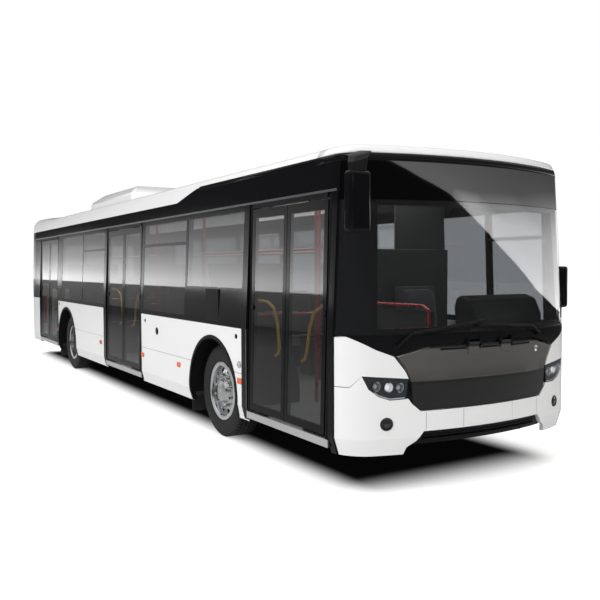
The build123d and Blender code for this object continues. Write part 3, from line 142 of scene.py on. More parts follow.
def blend(tree, share, first, second):
    """Mix of two shaders."""
    return shade(tree, "MixShader", {"Fac": share, 1: first, 2: second})


def axes(tree, space="Object"):
    """Outputs X, Y and Z of the point that is shaded."""
    coord = shader(tree, "TexCoord")
    return shader(tree, "SeparateXYZ", {"Vector": coord.outputs[space]}).outputs


def grain(tree, scale, low, high):
    """Noise in object space: mapped to a range, and as it is."""
    coord = shader(tree, "TexCoord")
    inputs = {"Vector": coord.outputs["Object"], "Scale": scale, "Detail": NOISE_DETAIL}
    fac = shade(tree, "TexNoise", inputs)
    return ranged(tree, fac, 0.0, 1.0, low, high), fac


def ramp_of(tree, value, stops, tint=(1.0, 1.0, 1.0)):
    """Colour ramp through stops given as (place, tone)."""
    ramp = shader(tree, "ValToRGB", {"Fac": value})
    marks = ramp.color_ramp.elements
    for place, _ in stops[1:-1]:
        marks.new(place)
    for mark, (_, tone) in zip(sorted(marks, key=lambda e: e.position), stops):
        mark.color = (*(tone * share for share in tint), 1.0)
    return ramp.outputs["Color"]


def tree_of(name):
    """New material and its empty node tree."""
    material = bpy.data.materials.new(name)
    material.use_nodes = True
    material.node_tree.nodes.clear()
    return material, material.node_tree


def closed(material, last):
    """The material, with the last shader as its surface."""
    shader(material.node_tree, "OutputMaterial", {"Surface": last})
    return material


# Materials
COAT_ROUGH = 0.05
BUMP_DEPTH = 0.002
PANE_GRAIN = (6.0, 0.01, 0.04)
DUST_TONE = (0.8, 0.82, 0.84, 1.0)
DUST_SCALE = 2.2
DUST_SHARE = (0.6, 1.4)
LAMP_TONE = (1.0, 0.97, 0.92, 1.0)
WHITE_TONE = (0.86, 0.865, 0.87)
BAND_TONE = (0.008, 0.008, 0.009)
BAND_GRAIN = (9.0, 0.18, 0.26)
BAND_TOP_Z = 2.5
BAND_COAT = 0.5
FLAP_COAT = 0.25
FLAP_TINT = (1.0, 0.96, 0.92)
FLAP_GRAIN = (30.0, 0.30, 0.40)
# Tones of the flap by height: the darker lower part and the lighter upper part are painted shade and light,
# the dark line at 0.858 is a painted crease shadow, and above 1.13 the flap is near black.
FLAP_SHADED_TONES = [
    (0.64, 0.007), (0.845, 0.009), (0.858, 0.003), (0.870, 0.005), (0.880, 0.055),
    (0.98, 0.080), (1.122, 0.085), (1.130, 0.008), (1.16, 0.006),
]


def solid(
    name, color, rough, metal=0.0, coat=0.0, scale=18.0, vary=0.06, bump=0.0, sheen=0.0, spec=0.5, glow=0.0
):
    """Opaque material with uneven roughness; bump makes it coarse and glow makes it shine."""
    material, tree = tree_of(name)
    level, fac = grain(tree, scale, max(0.0, rough - vary), rough + vary)
    inputs = {
        "Base Color": (*color, 1.0),
        "Roughness": level,
        "Metallic": metal,
        "Coat Weight": coat,
        "Coat Roughness": COAT_ROUGH,
        "Sheen Weight": sheen,
        "Specular IOR Level": spec,
    }
    if bump:
        inputs["Normal"] = shade(tree, "Bump", {"Strength": bump, "Distance": BUMP_DEPTH, "Height": fac})
    if glow:
        inputs["Emission Color"] = LAMP_TONE
        inputs["Emission Strength"] = glow
    return closed(material, shade(tree, "BsdfPrincipled", inputs))


def pane(name, tint, ior, haze=0.0):
    """Thin glass: a clear sheet that mirrors on its outer face, with a little dust as the haze."""
    material, tree = tree_of(name)
    clear = shade(tree, "BsdfTransparent", {"Color": (*tint, 1.0)})
    level, _ = grain(tree, *PANE_GRAIN)
    gloss = shade(tree, "BsdfGlossy", {"Roughness": level})
    outer = math_node(tree, "SUBTRACT", 1.0, shader(tree, "NewGeometry").outputs["Backfacing"])
    share = math_node(tree, "MULTIPLY", shade(tree, "Fresnel", {"IOR": ior}), outer)
    last = blend(tree, share, clear, gloss)
    if haze:
        amount, _ = grain(tree, DUST_SCALE, haze * DUST_SHARE[0], haze * DUST_SHARE[1])
        last = blend(tree, amount, last, shade(tree, "BsdfDiffuse", {"Color": DUST_TONE}))
    return closed(material, last)


def banded(name, low, high):
    """White enamel with a black band between two heights."""
    material, tree = tree_of(name)
    band = shader(tree, "Math", {0: axes(tree)["Z"], 1: (low + high) / 2, 2: (high - low) / 2})
    band.operation = "COMPARE"
    mix = tree.nodes.new("ShaderNodeMix")
    mix.data_type = "RGBA"
    fill(tree, mix, {"A": (*WHITE_TONE, 1.0), "B": (*BAND_TONE, 1.0), "Factor": band.outputs["Value"]})
    level, _ = grain(tree, *BAND_GRAIN)
    inputs = {"Base Color": mix.outputs["Result"], "Roughness": level, "Coat Weight": BAND_COAT}
    return closed(material, shade(tree, "BsdfPrincipled", inputs))


def graded(name, stops):
    """Dark enamel whose tone changes with height, with light and shade painted in; the stops are (z, tone).
    """
    material, tree = tree_of(name)
    low = stops[0][0]
    span = stops[-1][0] - low
    place = math_node(tree, "DIVIDE", math_node(tree, "SUBTRACT", axes(tree)["Z"], low), span)
    tone = ramp_of(tree, place, [((z - low) / span, level) for z, level in stops], FLAP_TINT)
    level, _ = grain(tree, *FLAP_GRAIN)
    inputs = {"Base Color": tone, "Roughness": level, "Coat Weight": FLAP_COAT}
    return closed(material, shade(tree, "BsdfPrincipled", inputs))


WHITE = solid("white_enamel", WHITE_TONE, 0.24, coat=0.5, scale=9.0, vary=0.04)
BLACK = solid("black_enamel", (0.005, 0.005, 0.006), 0.09, coat=0.03, scale=9.0, vary=0.04, spec=0.14)
TRIM = solid("trim_plastic", (0.009, 0.009, 0.010), 0.42, scale=160.0, vary=0.08, bump=0.15, spec=0.1)
GREY = solid("rail_grey", (0.12, 0.122, 0.126), 0.35, metal=0.6, scale=40.0)
SIDE_GLASS = pane("side_glass_tint", (0.46, 0.47, 0.485), 1.8)
DOOR_GLASS = pane("door_glass_tint", (0.60, 0.61, 0.62), 1.7)
SCREEN = pane("screen_clear", (0.95, 0.96, 0.96), 1.9, haze=0.004)
SIGN_GLASS = pane("sign_glass_tint", (0.012, 0.012, 0.013), 1.9)
LENS = pane("lens_clear", (0.93, 0.94, 0.95), 1.45)
CHROME = solid("bright_metal", (0.86, 0.87, 0.88), 0.09, metal=1.0, scale=60.0, vary=0.04)
ALLOY = solid("wheel_alloy", (0.72, 0.725, 0.735), 0.26, metal=1.0, scale=45.0, vary=0.07, bump=0.04)
DARK_STEEL = solid("frame_enamel", (0.035, 0.035, 0.037), 0.5, scale=50.0, vary=0.1, bump=0.1)
RUBBER = solid("tyre_rubber", (0.021, 0.021, 0.022), 0.72, scale=70.0, vary=0.1, bump=0.2)
CAST = solid("cast_metal", (0.16, 0.16, 0.165), 0.55, metal=0.7, scale=80.0, vary=0.1, bump=0.25)
SILL = solid("sill_metal", (0.52, 0.525, 0.53), 0.38, metal=0.4, scale=90.0, vary=0.08)
CLOTH = solid("seat_cloth", (0.035, 0.036, 0.045), 0.85, scale=420.0, vary=0.1, bump=0.5, sheen=0.4)
RED = solid("pole_red", (0.36, 0.012, 0.014), 0.28, coat=0.4, scale=30.0)
YELLOW = solid("rail_yellow", (0.72, 0.40, 0.02), 0.3, coat=0.3, scale=30.0)
AMBER = solid("marker_amber", (0.80, 0.13, 0.03), 0.2, coat=0.6, scale=200.0)
RED_LENS = solid("marker_red", (0.50, 0.015, 0.015), 0.18, coat=0.6, scale=200.0)
SIGN = solid("sign_black", (0.012, 0.012, 0.012), 0.35, scale=300.0, bump=0.05)
LINING = solid("lining_grey", (0.30, 0.31, 0.32), 0.7, scale=120.0, bump=0.1)
DASH = solid("dash_grey", (0.03, 0.031, 0.033), 0.6, scale=220.0, bump=0.3)
LENS_SOLID = solid("lens_solid", (0.42, 0.43, 0.45), 0.08, coat=0.8, scale=200.0, vary=0.03)
MIRROR = solid("mirror_silver", (0.85, 0.86, 0.88), 0.03, metal=1.0, scale=5.0, vary=0.015)
VINYL = solid("floor_vinyl", (0.24, 0.245, 0.25), 0.6, scale=300.0, bump=0.2)
FOG_GLASS = solid("fog_lens_dark", (0.05, 0.052, 0.055), 0.07, metal=0.6, coat=0.8, scale=200.0, vary=0.03)
BEZEL = solid("lamp_bezel", (0.06, 0.062, 0.066), 0.22, metal=0.8, scale=80.0, vary=0.06)
LAMP_GLOW = solid("lamp_diffuser", (0.8, 0.8, 0.78), 0.5, scale=60.0, glow=8.5)
LENS_GLOW = solid("lens_lit", (0.75, 0.77, 0.79), 0.08, coat=0.8, scale=200.0, vary=0.03, glow=0.5)
TAIL = banded("tail_enamel", SILL_Z, BAND_TOP_Z)
FLAP = graded("flap_enamel_shaded", FLAP_SHADED_TONES)

# Materials of the solids
BY_SLOT = {
    "white_paint": WHITE,
    "black_paint": BLACK,
    "dark_glass": SIDE_GLASS,
    "clear_glass": SCREEN,
    "lamp_chrome": CHROME,
    "lamp_red": RED_LENS,
    "black_plastic": TRIM,
    "floor_metal": SILL,
    "frame_steel": DARK_STEEL,
    "engine_iron": CAST,
    "seat_cloth": CLOTH,
    "pole_paint": RED,
    "door_steel": TRIM,
    "rim_steel": ALLOY,
    "tyre_rubber": RUBBER,
    "bellows_rubber": RUBBER,
}
SPECIAL = {
    "front_flap": FLAP,
    "lamp_lenses": LENS,
    "driver_cab": DASH,
    "sign_box": SIGN,
    "headlamps": BEZEL,
    "wheel_boxes": TRIM,
    "floor": DARK_STEEL,
    "tail": TAIL,
}
# How far a unit normal points along an axis
FACING = 0.7
TURNED = 0.5
EDGE_NEAR = 0.02
ARCH_REACH = 0.06


def dress(part):
    """Gives a solid the material of its name or of its slot."""
    name = part["node"]
    material = SPECIAL.get(name, BY_SLOT[part["material_slot"]])
    if name.endswith("_glass") and "door" in name:
        material = DOOR_GLASS
    NODES[name].data.materials.clear()
    NODES[name].data.materials.append(material)


def reface(name, material, chosen):
    """Another material on the faces that the test picks."""
    data = NODES[name].data
    data.materials.append(material)
    for face in data.polygons:
        if chosen(face):
            face.material_index = len(data.materials) - 1


def dark_edge(face):
    """Whether a face of the side wall is the edge of a wheel arch or of a doorway."""
    spot = face.center
    for x, radius in ((AXLE_F, ARCH_F_R), (AXLE_R, ARCH_R_R)):
        off = math.hypot(spot.x - x, spot.z - ARCH_Z)
        if abs(face.normal.y) < TURNED and abs(off - radius) < EDGE_NEAR:
            return True
        if abs(face.normal.x) > TURNED and abs(spot.x - x) < radius + ARCH_REACH and spot.z < ARCH_Z:
            return True
    door_edges = [x for pair in DOORS.values() for x in pair]
    return abs(face.normal.x) > FACING and any(abs(spot.x - x) < EDGE_NEAR for x in door_edges)


for subpart in frame["record"]["subparts"]:
    dress(subpart)
reface("windscreen", SIGN_GLASS, lambda face: face.center.z > SIGN_SEAM_Z)
reface("floor", VINYL, lambda face: face.normal.z > FACING)
reface("side_panels", LINING, lambda face: face.normal.y * face.center.y < -TURNED)
reface("side_panels", TRIM, dark_edge)

# Mesh building
SHARP_ANGLE = math.radians(35)
BEVEL_STEPS = 3
MEET = 1e-5


class Batch:
    """Several plain shapes gathered into one piece."""

    def __init__(self):
        self.mesh = bmesh.new()

    def skin(self, loops, loop=False, caps=True):
        """Surface through rings of points."""
        rings = [[self.mesh.verts.new(p) for p in ring] for ring in loops]
        pairs = list(zip(rings, rings[1:]))
        if loop:
            pairs.append((rings[-1], rings[0]))
        for one, two in pairs:
            for i in range(len(one)):
                j = (i + 1) % len(one)
                self.mesh.faces.new((one[i], one[j], two[j], two[i]))
        if caps and not loop:
            self.mesh.faces.new(list(reversed(rings[0])))
            self.mesh.faces.new(rings[-1])
        return self

    def sheet(self, rows):
        """Open surface through rows of points."""
        grid = [[self.mesh.verts.new(p) for p in row] for row in rows]
        for one, two in zip(grid, grid[1:]):
            for i in range(len(one) - 1):
                self.mesh.faces.new((one[i], one[i + 1], two[i + 1], two[i]))
        bmesh.ops.remove_doubles(self.mesh, verts=self.mesh.verts, dist=MEET)
        return self

    def box(self, low, high, turn=None):
        """Box between two corners, moved by a matrix where one is given."""
        section = [(low[1], low[2]), (high[1], low[2]), (high[1], high[2]), (low[1], high[2])]
        loops = [[Vector((x, y, z)) for y, z in section] for x in (low[0], high[0])]
        if turn:
            loops = [[turn @ p for p in ring] for ring in loops]
        return self.skin(loops)

    def side_box(self, s, xs, ys, zs):
        """Box on one side of the bus; ys are distances from the middle."""
        near, far = sorted((s * ys[0], s * ys[1]))
        return self.box((xs[0], near, zs[0]), (xs[1], far, zs[1]))

    def turned(self, profile, centre, axis, count=48, loop=False, caps=True):
        """Shape turned about an axis from (distance along axis, radius) pairs."""
        axis = Vector(axis).normalized()
        side = axis.orthogonal().normalized()
        up = axis.cross(side)
        turns = [2 * math.pi * i / count for i in range(count)]
        spokes = [math.cos(t) * side + math.sin(t) * up for t in turns]
        rings = [[Vector(centre) + a * axis + max(r, MEET) * s for s in spokes] for a, r in profile]
        return self.skin(rings, loop, caps)

    def rod(self, p, q, radius, count=16):
        """Round bar between two points."""
        along = Vector(q) - Vector(p)
        return self.turned([(0.0, radius), (along.length, radius)], p, along, count)

    def tube(self, points, radius, count=12):
        """Bent bar through the points."""
        points = [Vector(p) for p in points]
        steps = [(q - p).normalized() for p, q in zip(points, points[1:])]
        ways = [steps[0]] + [(a + b).normalized() for a, b in zip(steps, steps[1:])] + [steps[-1]]
        side = ways[0].orthogonal().normalized()
        turns = [2 * math.pi * k / count for k in range(count)]
        loops = []
        for p, way in zip(points, ways):
            side = (side - side.dot(way) * way).normalized()
            up = way.cross(side)
            loops.append([p + radius * (math.cos(t) * side + math.sin(t) * up) for t in turns])
        return self.skin(loops)

    def across(self, y0, y1, section, steps=24):
        """Bar along the bow of the nose; the section is (out, z)."""
        loops = []
        for k in range(steps + 1):
            y = mixed(y0, y1, k / steps)
            loops.append([(nose_x(y, z) + out, y, z) for out, z in section])
        return self.skin(loops)

    def make(self, name, material, body="body", slot=None, bevel=0.0, thick=0.0):
        """The finished piece, which rides on a body."""
        bmesh.ops.recalc_face_normals(self.mesh, faces=self.mesh.faces)
        data = bpy.data.meshes.new(name)
        self.mesh.to_mesh(data)
        self.mesh.free()
        piece = bpy.data.objects.new(name, data)
        scene.collection.objects.link(piece)
        data.materials.append(material)
        for face in data.polygons:
            face.use_smooth = True
        data.set_sharp_from_angle(angle=SHARP_ANGLE)
        if thick:
            shell = piece.modifiers.new("shell", "SOLIDIFY")
            shell.thickness = thick
            shell.offset = 0.0
        if bevel:
            edge = piece.modifiers.new("edge", "BEVEL")
            edge.width = bevel
            edge.segments = BEVEL_STEPS
            edge.limit_method = "ANGLE"
        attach(piece, body)
        return piece


def boxes(corners):
    """Batch of boxes given as pairs of corners."""
    batch = Batch()
    for low, high in corners:
        batch.box(low, high)
    return batch


# Roof and its front end: lower at the edges than the solids, rising to the tail's height at the back
COVE_Z = 2.56
COVE_R = 0.235
COVE_TURNS = (0, 5, 10, 15, 20, 25, 30)
EDGE_R = 0.06
EDGE_STEPS = 6
EDGE_TURN_TAIL = 82
EDGE_TURN_LOW = 80
CROWN_LOW = 2.80
CROWN_TAIL = 2.87
CROWN_STEPS = (0.9, 0.75, 0.6, 0.4, 0.2, 0.0)
ROOF_W = wall_y(COVE_Z) - 0.001
ROOF_FOOT = (-0.0025, 2.50)
ROOF_BACK_X = -5.645
ROOF_SINK = 1.4
ROOF_INNER = 0.985
ROOF_THICK = 0.02
CAP_BACK_X = 5.15
CAP_CORNER_R = 0.25
CAP_CORNER_STEPS = 8
CAP_BOW_STEPS = 12
CAP_INSETS = (0.11, 0.16, 0.235)
CAP_FILL_STEPS = 4
CAP_FOOT_ROW = 5
CAP_EDGE_OUT = 0.003
BAND_EDGE_OUT = 0.002
BAND_X = (2.78, 4.0, CAP_BACK_X)
ROOF_X = (-5.4, -5.2, -5.0, -4.8, -4.6, -4.4, -4.2, -3.0, -1.0, 1.0, 3.0, 4.2)


def roof_half(low):
    """Half section as (inset from the wall, z), from the band to the middle; low goes from 0 to 1."""
    turns = [math.radians(a) for a in COVE_TURNS]
    rows = [ROOF_FOOT]
    rows += [(COVE_R * (1 - math.cos(a)), COVE_Z + COVE_R * math.sin(a)) for a in turns]
    inset, z = rows[-1]
    radius = mixed(COVE_R, EDGE_R, low)
    first = turns[-1]
    last = math.radians(mixed(EDGE_TURN_TAIL, EDGE_TURN_LOW, low))
    for k in range(1, EDGE_STEPS + 1):
        a = mixed(first, last, k / EDGE_STEPS)
        further = radius * (math.cos(first) - math.cos(a))
        rows.append((inset + further, z + radius * (math.sin(a) - math.sin(first))))
    edge = ROOF_W - rows[-1][0]
    top = mixed(CROWN_TAIL, CROWN_LOW, low)
    drop = top - rows[-1][1]
    rows += [(ROOF_W - edge * t, top - drop * t * t) for t in CROWN_STEPS]
    return rows


def crown_z(inset):
    """Height of the low roof's crown at an inset from the wall."""
    foot = roof_half(1.0)[-1 - len(CROWN_STEPS)]
    t = (ROOF_W - inset) / (ROOF_W - foot[0])
    return CROWN_LOW - (CROWN_LOW - foot[1]) * t * t


def build_roof():
    loops = []
    for x in (ROOF_BACK_X, *ROOF_X, CAP_BACK_X):
        t = min(1.0, (x - ROOF_BACK_X) / ROOF_SINK)
        half = roof_half(t * t * (3 - 2 * t))
        outer = [(inset - ROOF_W, z) for inset, z in half]
        outer += [(-y, z) for y, z in reversed(outer[:-1])]
        inner = [(y * ROOF_INNER, z - ROOF_THICK) for y, z in reversed(outer)]
        loops.append([(x, y, z) for y, z in outer + inner])
    roof = Batch().skin(loops).make("roof_skin", WHITE, slot="white_paint")
    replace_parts(roof, "roof")


def cap_plan(inset):
    """Plan of the roof's front end, from the right over the nose to the left."""
    bow_x = NOSE_X - SCREEN_RAKE - BOW_R
    corner_y = ROOF_W - CAP_CORNER_R
    corner_x = bow_x + math.sqrt((BOW_R - CAP_CORNER_R) ** 2 - corner_y ** 2)
    meet = math.atan2(corner_y, corner_x - bow_x)
    half = [(CAP_BACK_X, ROOF_W - inset), (mixed(CAP_BACK_X, corner_x, 0.5), ROOF_W - inset)]
    radius = CAP_CORNER_R - inset
    for k in range(CAP_CORNER_STEPS + 1):
        a = mixed(math.pi / 2, meet, k / CAP_CORNER_STEPS)
        half.append((corner_x + radius * math.cos(a), corner_y + radius * math.sin(a)))
    for k in range(1, CAP_BOW_STEPS + 1):
        a = mixed(meet, 0.0, k / CAP_BOW_STEPS)
        half.append((bow_x + (BOW_R - inset) * math.cos(a), (BOW_R - inset) * math.sin(a)))
    return [(x, -y) for x, y in half] + [(x, y) for x, y in reversed(half[:-1])]


def cap_row(inset, z):
    return [Vector((x, y, z)) for x, y in cap_plan(inset)]


def build_cap():
    """Front end of the roof, with the dark edges below it and along the sides."""
    section = roof_half(1.0)[: -len(CROWN_STEPS)] + [(d, crown_z(d)) for d in CAP_INSETS]
    rows = [cap_row(inset, z) for inset, z in section[CAP_FOOT_ROW:]]
    rim = [(p, crown_z(ROOF_W - abs(p.y))) for p in rows[-1]]
    for k in range(1, CAP_FILL_STEPS + 1):
        t = k / CAP_FILL_STEPS
        rows.append([(mixed(p.x, CAP_BACK_X, t), p.y, mixed(p.z, top, t)) for p, top in rim])
    cap = Batch().sheet(rows).make("front_cap_skin", WHITE, slot="white_paint", thick=0.004)
    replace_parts(cap, "front_roof_cap")
    edge = [cap_row(inset - CAP_EDGE_OUT, z) for inset, z in section[2 : CAP_FOOT_ROW + 1]]
    Batch().sheet(edge).make("front_cap_edge", BLACK, slot="black_paint", thick=0.003)
    strip = Batch()
    for s in BOTH:
        rows = [(s * (ROOF_W - inset + BAND_EDGE_OUT), z) for inset, z in section[3 : CAP_FOOT_ROW + 1]]
        strip.sheet([[(x, y, z) for x in BAND_X] for y, z in rows])
    strip.make("band_edges", BLACK, slot="black_paint", thick=0.002)


# Roof pod: its levels are (z, back, front, half width)
POD_TOP_Z = 3.02
POD_LEVELS = (
    (2.74, -2.62, -0.36, 0.92),
    (2.88, -2.60, -0.42, 0.90),
    (POD_TOP_Z, -2.42, -0.78, 0.70),
)
POD_SEAL_X = (-2.64, -0.34)
POD_SEAL_Y = (0.915, 0.935)
POD_SEAL_DROP = 0.01
POD_SEAL_RISE = 0.012
FAN_X = (-2.0, -1.25)
FAN_RADII = (0.30, 0.22, 0.14, 0.06)
FAN_HALF = 0.004
FAN_WIDE = 0.012


def build_pod():
    seal_z = crown_z(ROOF_W - POD_LEVELS[0][3])
    seal = Batch()
    for s in BOTH:
        seal.side_box(s, POD_SEAL_X, POD_SEAL_Y, (seal_z - POD_SEAL_DROP, seal_z + POD_SEAL_RISE))
    seal.make("pod_seals", RUBBER, slot="tyre_rubber")
    loops = []
    for z, x0, x1, half in POD_LEVELS:
        loops.append([(x0, -half, z), (x1, -half, z), (x1, half, z), (x0, half, z)])
    pod = Batch()
    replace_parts(pod.skin(loops).make("roof_pod_skin", WHITE, slot="white_paint", bevel=0.03), "roof_pod")


def build_fans():
    """Rings of the fans' guards on the pod."""
    fans = Batch()
    for x in FAN_X:
        for r in FAN_RADII:
            inner = r - FAN_WIDE
            ring = [(-FAN_HALF, inner), (FAN_HALF, inner), (FAN_HALF, r), (-FAN_HALF, r)]
            fans.turned(ring, (x, 0, POD_TOP_Z), (0, 0, 1), loop=True)
    fans.make("pod_fan_rings", GREY, slot="black_plastic")


# Sign case and mirrors; the bracket's levels are (z, back, front, outer edge, inner edge)
BRACKET = [
    (2.43, 5.825, 5.88, -1.36, -1.24),
    (2.52, 5.80, 5.875, -1.355, -1.225),
    (2.575, 5.73, 5.83, -1.30, -1.16),
    (2.60, 5.62, 5.74, -1.22, -1.09),
    (2.622, 5.50, 5.60, -1.19, -1.08),
]
SIGN_BOXES = (((5.43, -0.82, 2.33), (5.48, 0.82, 2.55)), ((5.43, -0.06, 2.55), (5.48, 0.06, 2.722)))
RIGHT_HEAD = ((5.8025, -1.395, 2.015), (5.8975, -1.205, 2.455))
LEFT_HEAD = ((5.425, 1.27, 1.375), (5.515, 1.40, 1.765))
RIGHT_FACE = ((5.8005, -1.373, 2.040), (5.806, -1.227, 2.430))
LEFT_FACE = ((5.4235, 1.290, 1.398), (5.429, 1.380, 1.742))
LEFT_ARM_R = 0.016
LEFT_ARM = [(5.47, 1.335, 1.40), (5.475, 1.33, 1.29), (5.44, 1.262, 1.262)]


def build_sign():
    sign = boxes(SIGN_BOXES)
    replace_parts(sign.make("sign_case", SIGN, slot="black_plastic", bevel=0.004), "sign_box")


def build_mirrors():
    heads = boxes((RIGHT_HEAD, LEFT_HEAD))
    mirrors = heads.make("mirror_heads", BLACK, slot="black_plastic", bevel=0.026)
    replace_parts(mirrors, "mirrors")
    loops = []
    for z, x0, x1, y0, y1 in BRACKET:
        loops.append([(x0, y0, z), (x1, y0, z - 0.01), (x1, y1, z + 0.03), (x0, y1, z + 0.04)])
    arms = Batch().skin(loops).tube(LEFT_ARM, LEFT_ARM_R)
    arms.make("mirror_arms", TRIM, slot="black_plastic", bevel=0.008)


def build_mirror_faces():
    boxes((RIGHT_FACE, LEFT_FACE)).make("mirror_faces", MIRROR, slot="lamp_chrome")


# Wheels: tyres with ribs and shoulder blocks, nuts, bright rings; profiles are (along the axle, radius)
TYRE_HALF = [
    (0.104, 0.294), (0.108, 0.310), (0.118, 0.317), (0.121, 0.326), (0.132, 0.344),
    (0.138, 0.378), (0.137, 0.405), (0.131, 0.436), (0.121, 0.456), (0.108, 0.465),
]
TYRE_STEPS = 80
RIBS = [(-0.022, 0.022), (0.031, 0.060), (-0.060, -0.031)]
RIB_LOW = 0.464
RIB_TOP = 0.4778
SHOULDERS = [(0.070, 0.104), (-0.104, -0.070)]
BLOCKS = 58
BLOCK_HALF = 0.019
BLOCK_LOW = 0.455
BLOCK_TOP = 0.4772
NUTS = 10
NUT_CIRCLE = 0.1675
NUT_SINK = 0.004
NUT = [(0.0, 0.024), (0.008, 0.024), (0.008, 0.017), (0.036, 0.016), (0.042, 0.008)]
TRIM_RING = [(0.1142, 0.262), (0.1142, 0.305), (0.117, 0.303)]
TRIM_RING += [(0.119, 0.292), (0.117, 0.268), (0.108, 0.258)]
# Node, body, axle, planes of the tyres and of the wheel's disc
WHEELS = (
    ("front_tyre", "front_wheel", AXLE_F, [0.0], 0.086),
    ("rear_tyres", "rear_wheels", AXLE_R, [0.0, -TWIN], -TWIN / 2 + 0.014),
)


def tyre(batch, centre):
    axle = (0, 1, 0)
    ring = TYRE_HALF + [(-a, r) for a, r in reversed(TYRE_HALF)]
    batch.turned(ring, centre, axle, TYRE_STEPS, loop=True)
    for a, b in RIBS:
        rib = [(a, RIB_LOW), (a, RIB_TOP), (b, RIB_TOP), (b, RIB_LOW)]
        batch.turned(rib, centre, axle, TYRE_STEPS, loop=True)
    for i in range(BLOCKS):
        place = Matrix.Translation(centre) @ Matrix.Rotation(2 * math.pi * i / BLOCKS, 4, "Y")
        for a, b in SHOULDERS:
            batch.box((-BLOCK_HALF, a, BLOCK_LOW), (BLOCK_HALF, b, BLOCK_TOP), place)


def build_wheel(side, s, node, body, x, planes, disc):
    """Tyres, nuts and ring of the wheels at one end of an axle."""
    rubber = Batch()
    for plane in planes:
        tyre(rubber, (x, s * (TRACK_Y + plane), TYRE_R))
    wheel = f"{body}_{side}"
    piece = rubber.make(f"{node}_{side}_treaded", RUBBER, wheel, "tyre_rubber")
    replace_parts(piece, f"{node}_{side}")
    nuts = Batch()
    nut_y = s * (TRACK_Y + disc - NUT_SINK)
    for i in range(NUTS):
        a = 2 * math.pi * (i + 0.5) / NUTS
        spot = (x + NUT_CIRCLE * math.cos(a), nut_y, TYRE_R + NUT_CIRCLE * math.sin(a))
        nuts.turned(NUT, spot, (0, s, 0), count=6)
    nuts.make(f"{wheel}_nuts", CHROME, wheel, "rim_steel")
    trim = Batch().turned(TRIM_RING, (x, s * TRACK_Y, TYRE_R), (0, s, 0), count=72, loop=True)
    trim.make(f"{wheel}_trim_ring", CHROME, wheel, "rim_steel")


def build_wheels():
    for side, s in (("left", 1), ("right", -1)):
        for wheel in WHEELS:
            build_wheel(side, s, *wheel)


# Lips and mud flaps of the wheel arches; an arch is (axle, radius, inner edge of its mud flap)
ARCHES = ((AXLE_F, ARCH_F_R, 0.93), (AXLE_R, ARCH_R_R, 0.6))
LIP = ((-0.012, 0.0002), (0.026, 0.0002), (0.022, 0.009), (-0.012, 0.009))
LIP_FOOT_Z = 0.312
LIP_STEPS = 40
MUD_FLAP_Y = 1.235
MUD_FLAP_GAP = 0.05
MUD_FLAP_THICK = 0.008
MUD_FLAP_Z = (0.17, 0.40)


def arch_lip(batch, x, radius, s):
    """Lip around an arch that follows the wall."""
    foot = math.asin((LIP_FOOT_Z - ARCH_Z) / radius)
    loops = []
    for k in range(LIP_STEPS + 1):
        a = mixed(foot, math.pi - foot, k / LIP_STEPS)
        ring = []
        for r, out in LIP:
            z = ARCH_Z + (radius + r) * math.sin(a)
            ring.append((x + (radius + r) * math.cos(a), s * (wall_y(z) + out), z))
        loops.append(ring)
    batch.skin(loops)


def build_arches():
    lips = Batch()
    flaps = Batch()
    for x, radius, inner in ARCHES:
        back = x - radius - MUD_FLAP_GAP
        for s in BOTH:
            arch_lip(lips, x, radius, s)
            flaps.side_box(s, (back, back + MUD_FLAP_THICK), (inner, MUD_FLAP_Y), MUD_FLAP_Z)
    lips.make("arch_lips", TRIM, slot="black_plastic")
    flaps.make("mud_flaps", RUBBER, slot="tyre_rubber", bevel=0.002)


# Right and left side: gutter, seams, caps, markers
GUTTER_X = (-5.64, 5.47)
GUTTER = (((1.2195, 1.2285), (2.352, 2.366)), ((1.2235, 1.2287), (2.366, 2.371)))
SEAM_RUNS = {-1: [(-3.62, -0.58), (1.0, 4.003)], 1: [GUTTER_X]}
SEAM_Y = (1.2748, 1.2756)
SEAM_Z = (0.748, 0.752)
ARCH_HALF = {AXLE_F: 0.53, AXLE_R: 0.56}
MARKERS = [
    ("amber", 1.077, 0.653, -1),
    ("amber", 2.313, 0.661, -1),
    ("amber", 3.876, 0.675, -1),
    ("red", -0.826, 0.654, -1),
    ("red", -3.562, 0.660, -1),
]
MARKERS += [("amber", x, 0.66, 1) for x in (4.6, 2.3, 0.7, -0.9)]
MARKERS += [("red", x, 0.66, 1) for x in (-3.8, -5.3)]
MARKER_Y = (1.2745, 1.286)
MARKER_HALF_X = 0.045
MARKER_HALF_Z = 0.028
CAPS = ((1.604, 0.994, 0.045), (1.18, 1.10, 0.02), (3.8, 1.10, 0.024), (-3.45, 1.13, 0.02))
CAP_Y = -1.2748
TURN_LAMP_SPOT = (3.87, CAP_Y, 0.834)
VENT_COVER = ((3.07, -1.2735, 1.215), (3.39, -1.262, 1.545))
TURN_LAMP = [(0.0, 0.034), (0.01, 0.034), (0.016, 0.026), (0.018, 0.0)]
DOOR_STRIPS = ((3.91, 4.004), (0.999, 1.03), (-0.676, -0.58), (-3.62, -3.53))
STRIP_Z = (0.317, TUCK_Z, SILL_Z)
STRIP_IN = 0.0004
STRIP_OUT = -0.0007


def build_gutters():
    rail = Batch()
    for s in BOTH:
        for ys, zs in GUTTER:
            rail.side_box(s, GUTTER_X, ys, zs)
    rail.make("gutter_rails", GREY, slot="black_paint")


def seam_cuts(x0, x1):
    """Ends of a seam's lengths between the wheel arches."""
    cuts = [x0]
    for x in sorted(ARCH_HALF):
        if x0 < x < x1:
            cuts += [x - ARCH_HALF[x], x + ARCH_HALF[x]]
    return cuts + [x1]


def build_seams():
    seams = Batch()
    for s, runs in SEAM_RUNS.items():
        for x0, x1 in runs:
            cuts = seam_cuts(x0, x1)
            for a, b in zip(cuts[::2], cuts[1::2]):
                seams.side_box(s, (a, b), SEAM_Y, SEAM_Z)
    seams.make("panel_seams", GREY, slot="black_plastic")


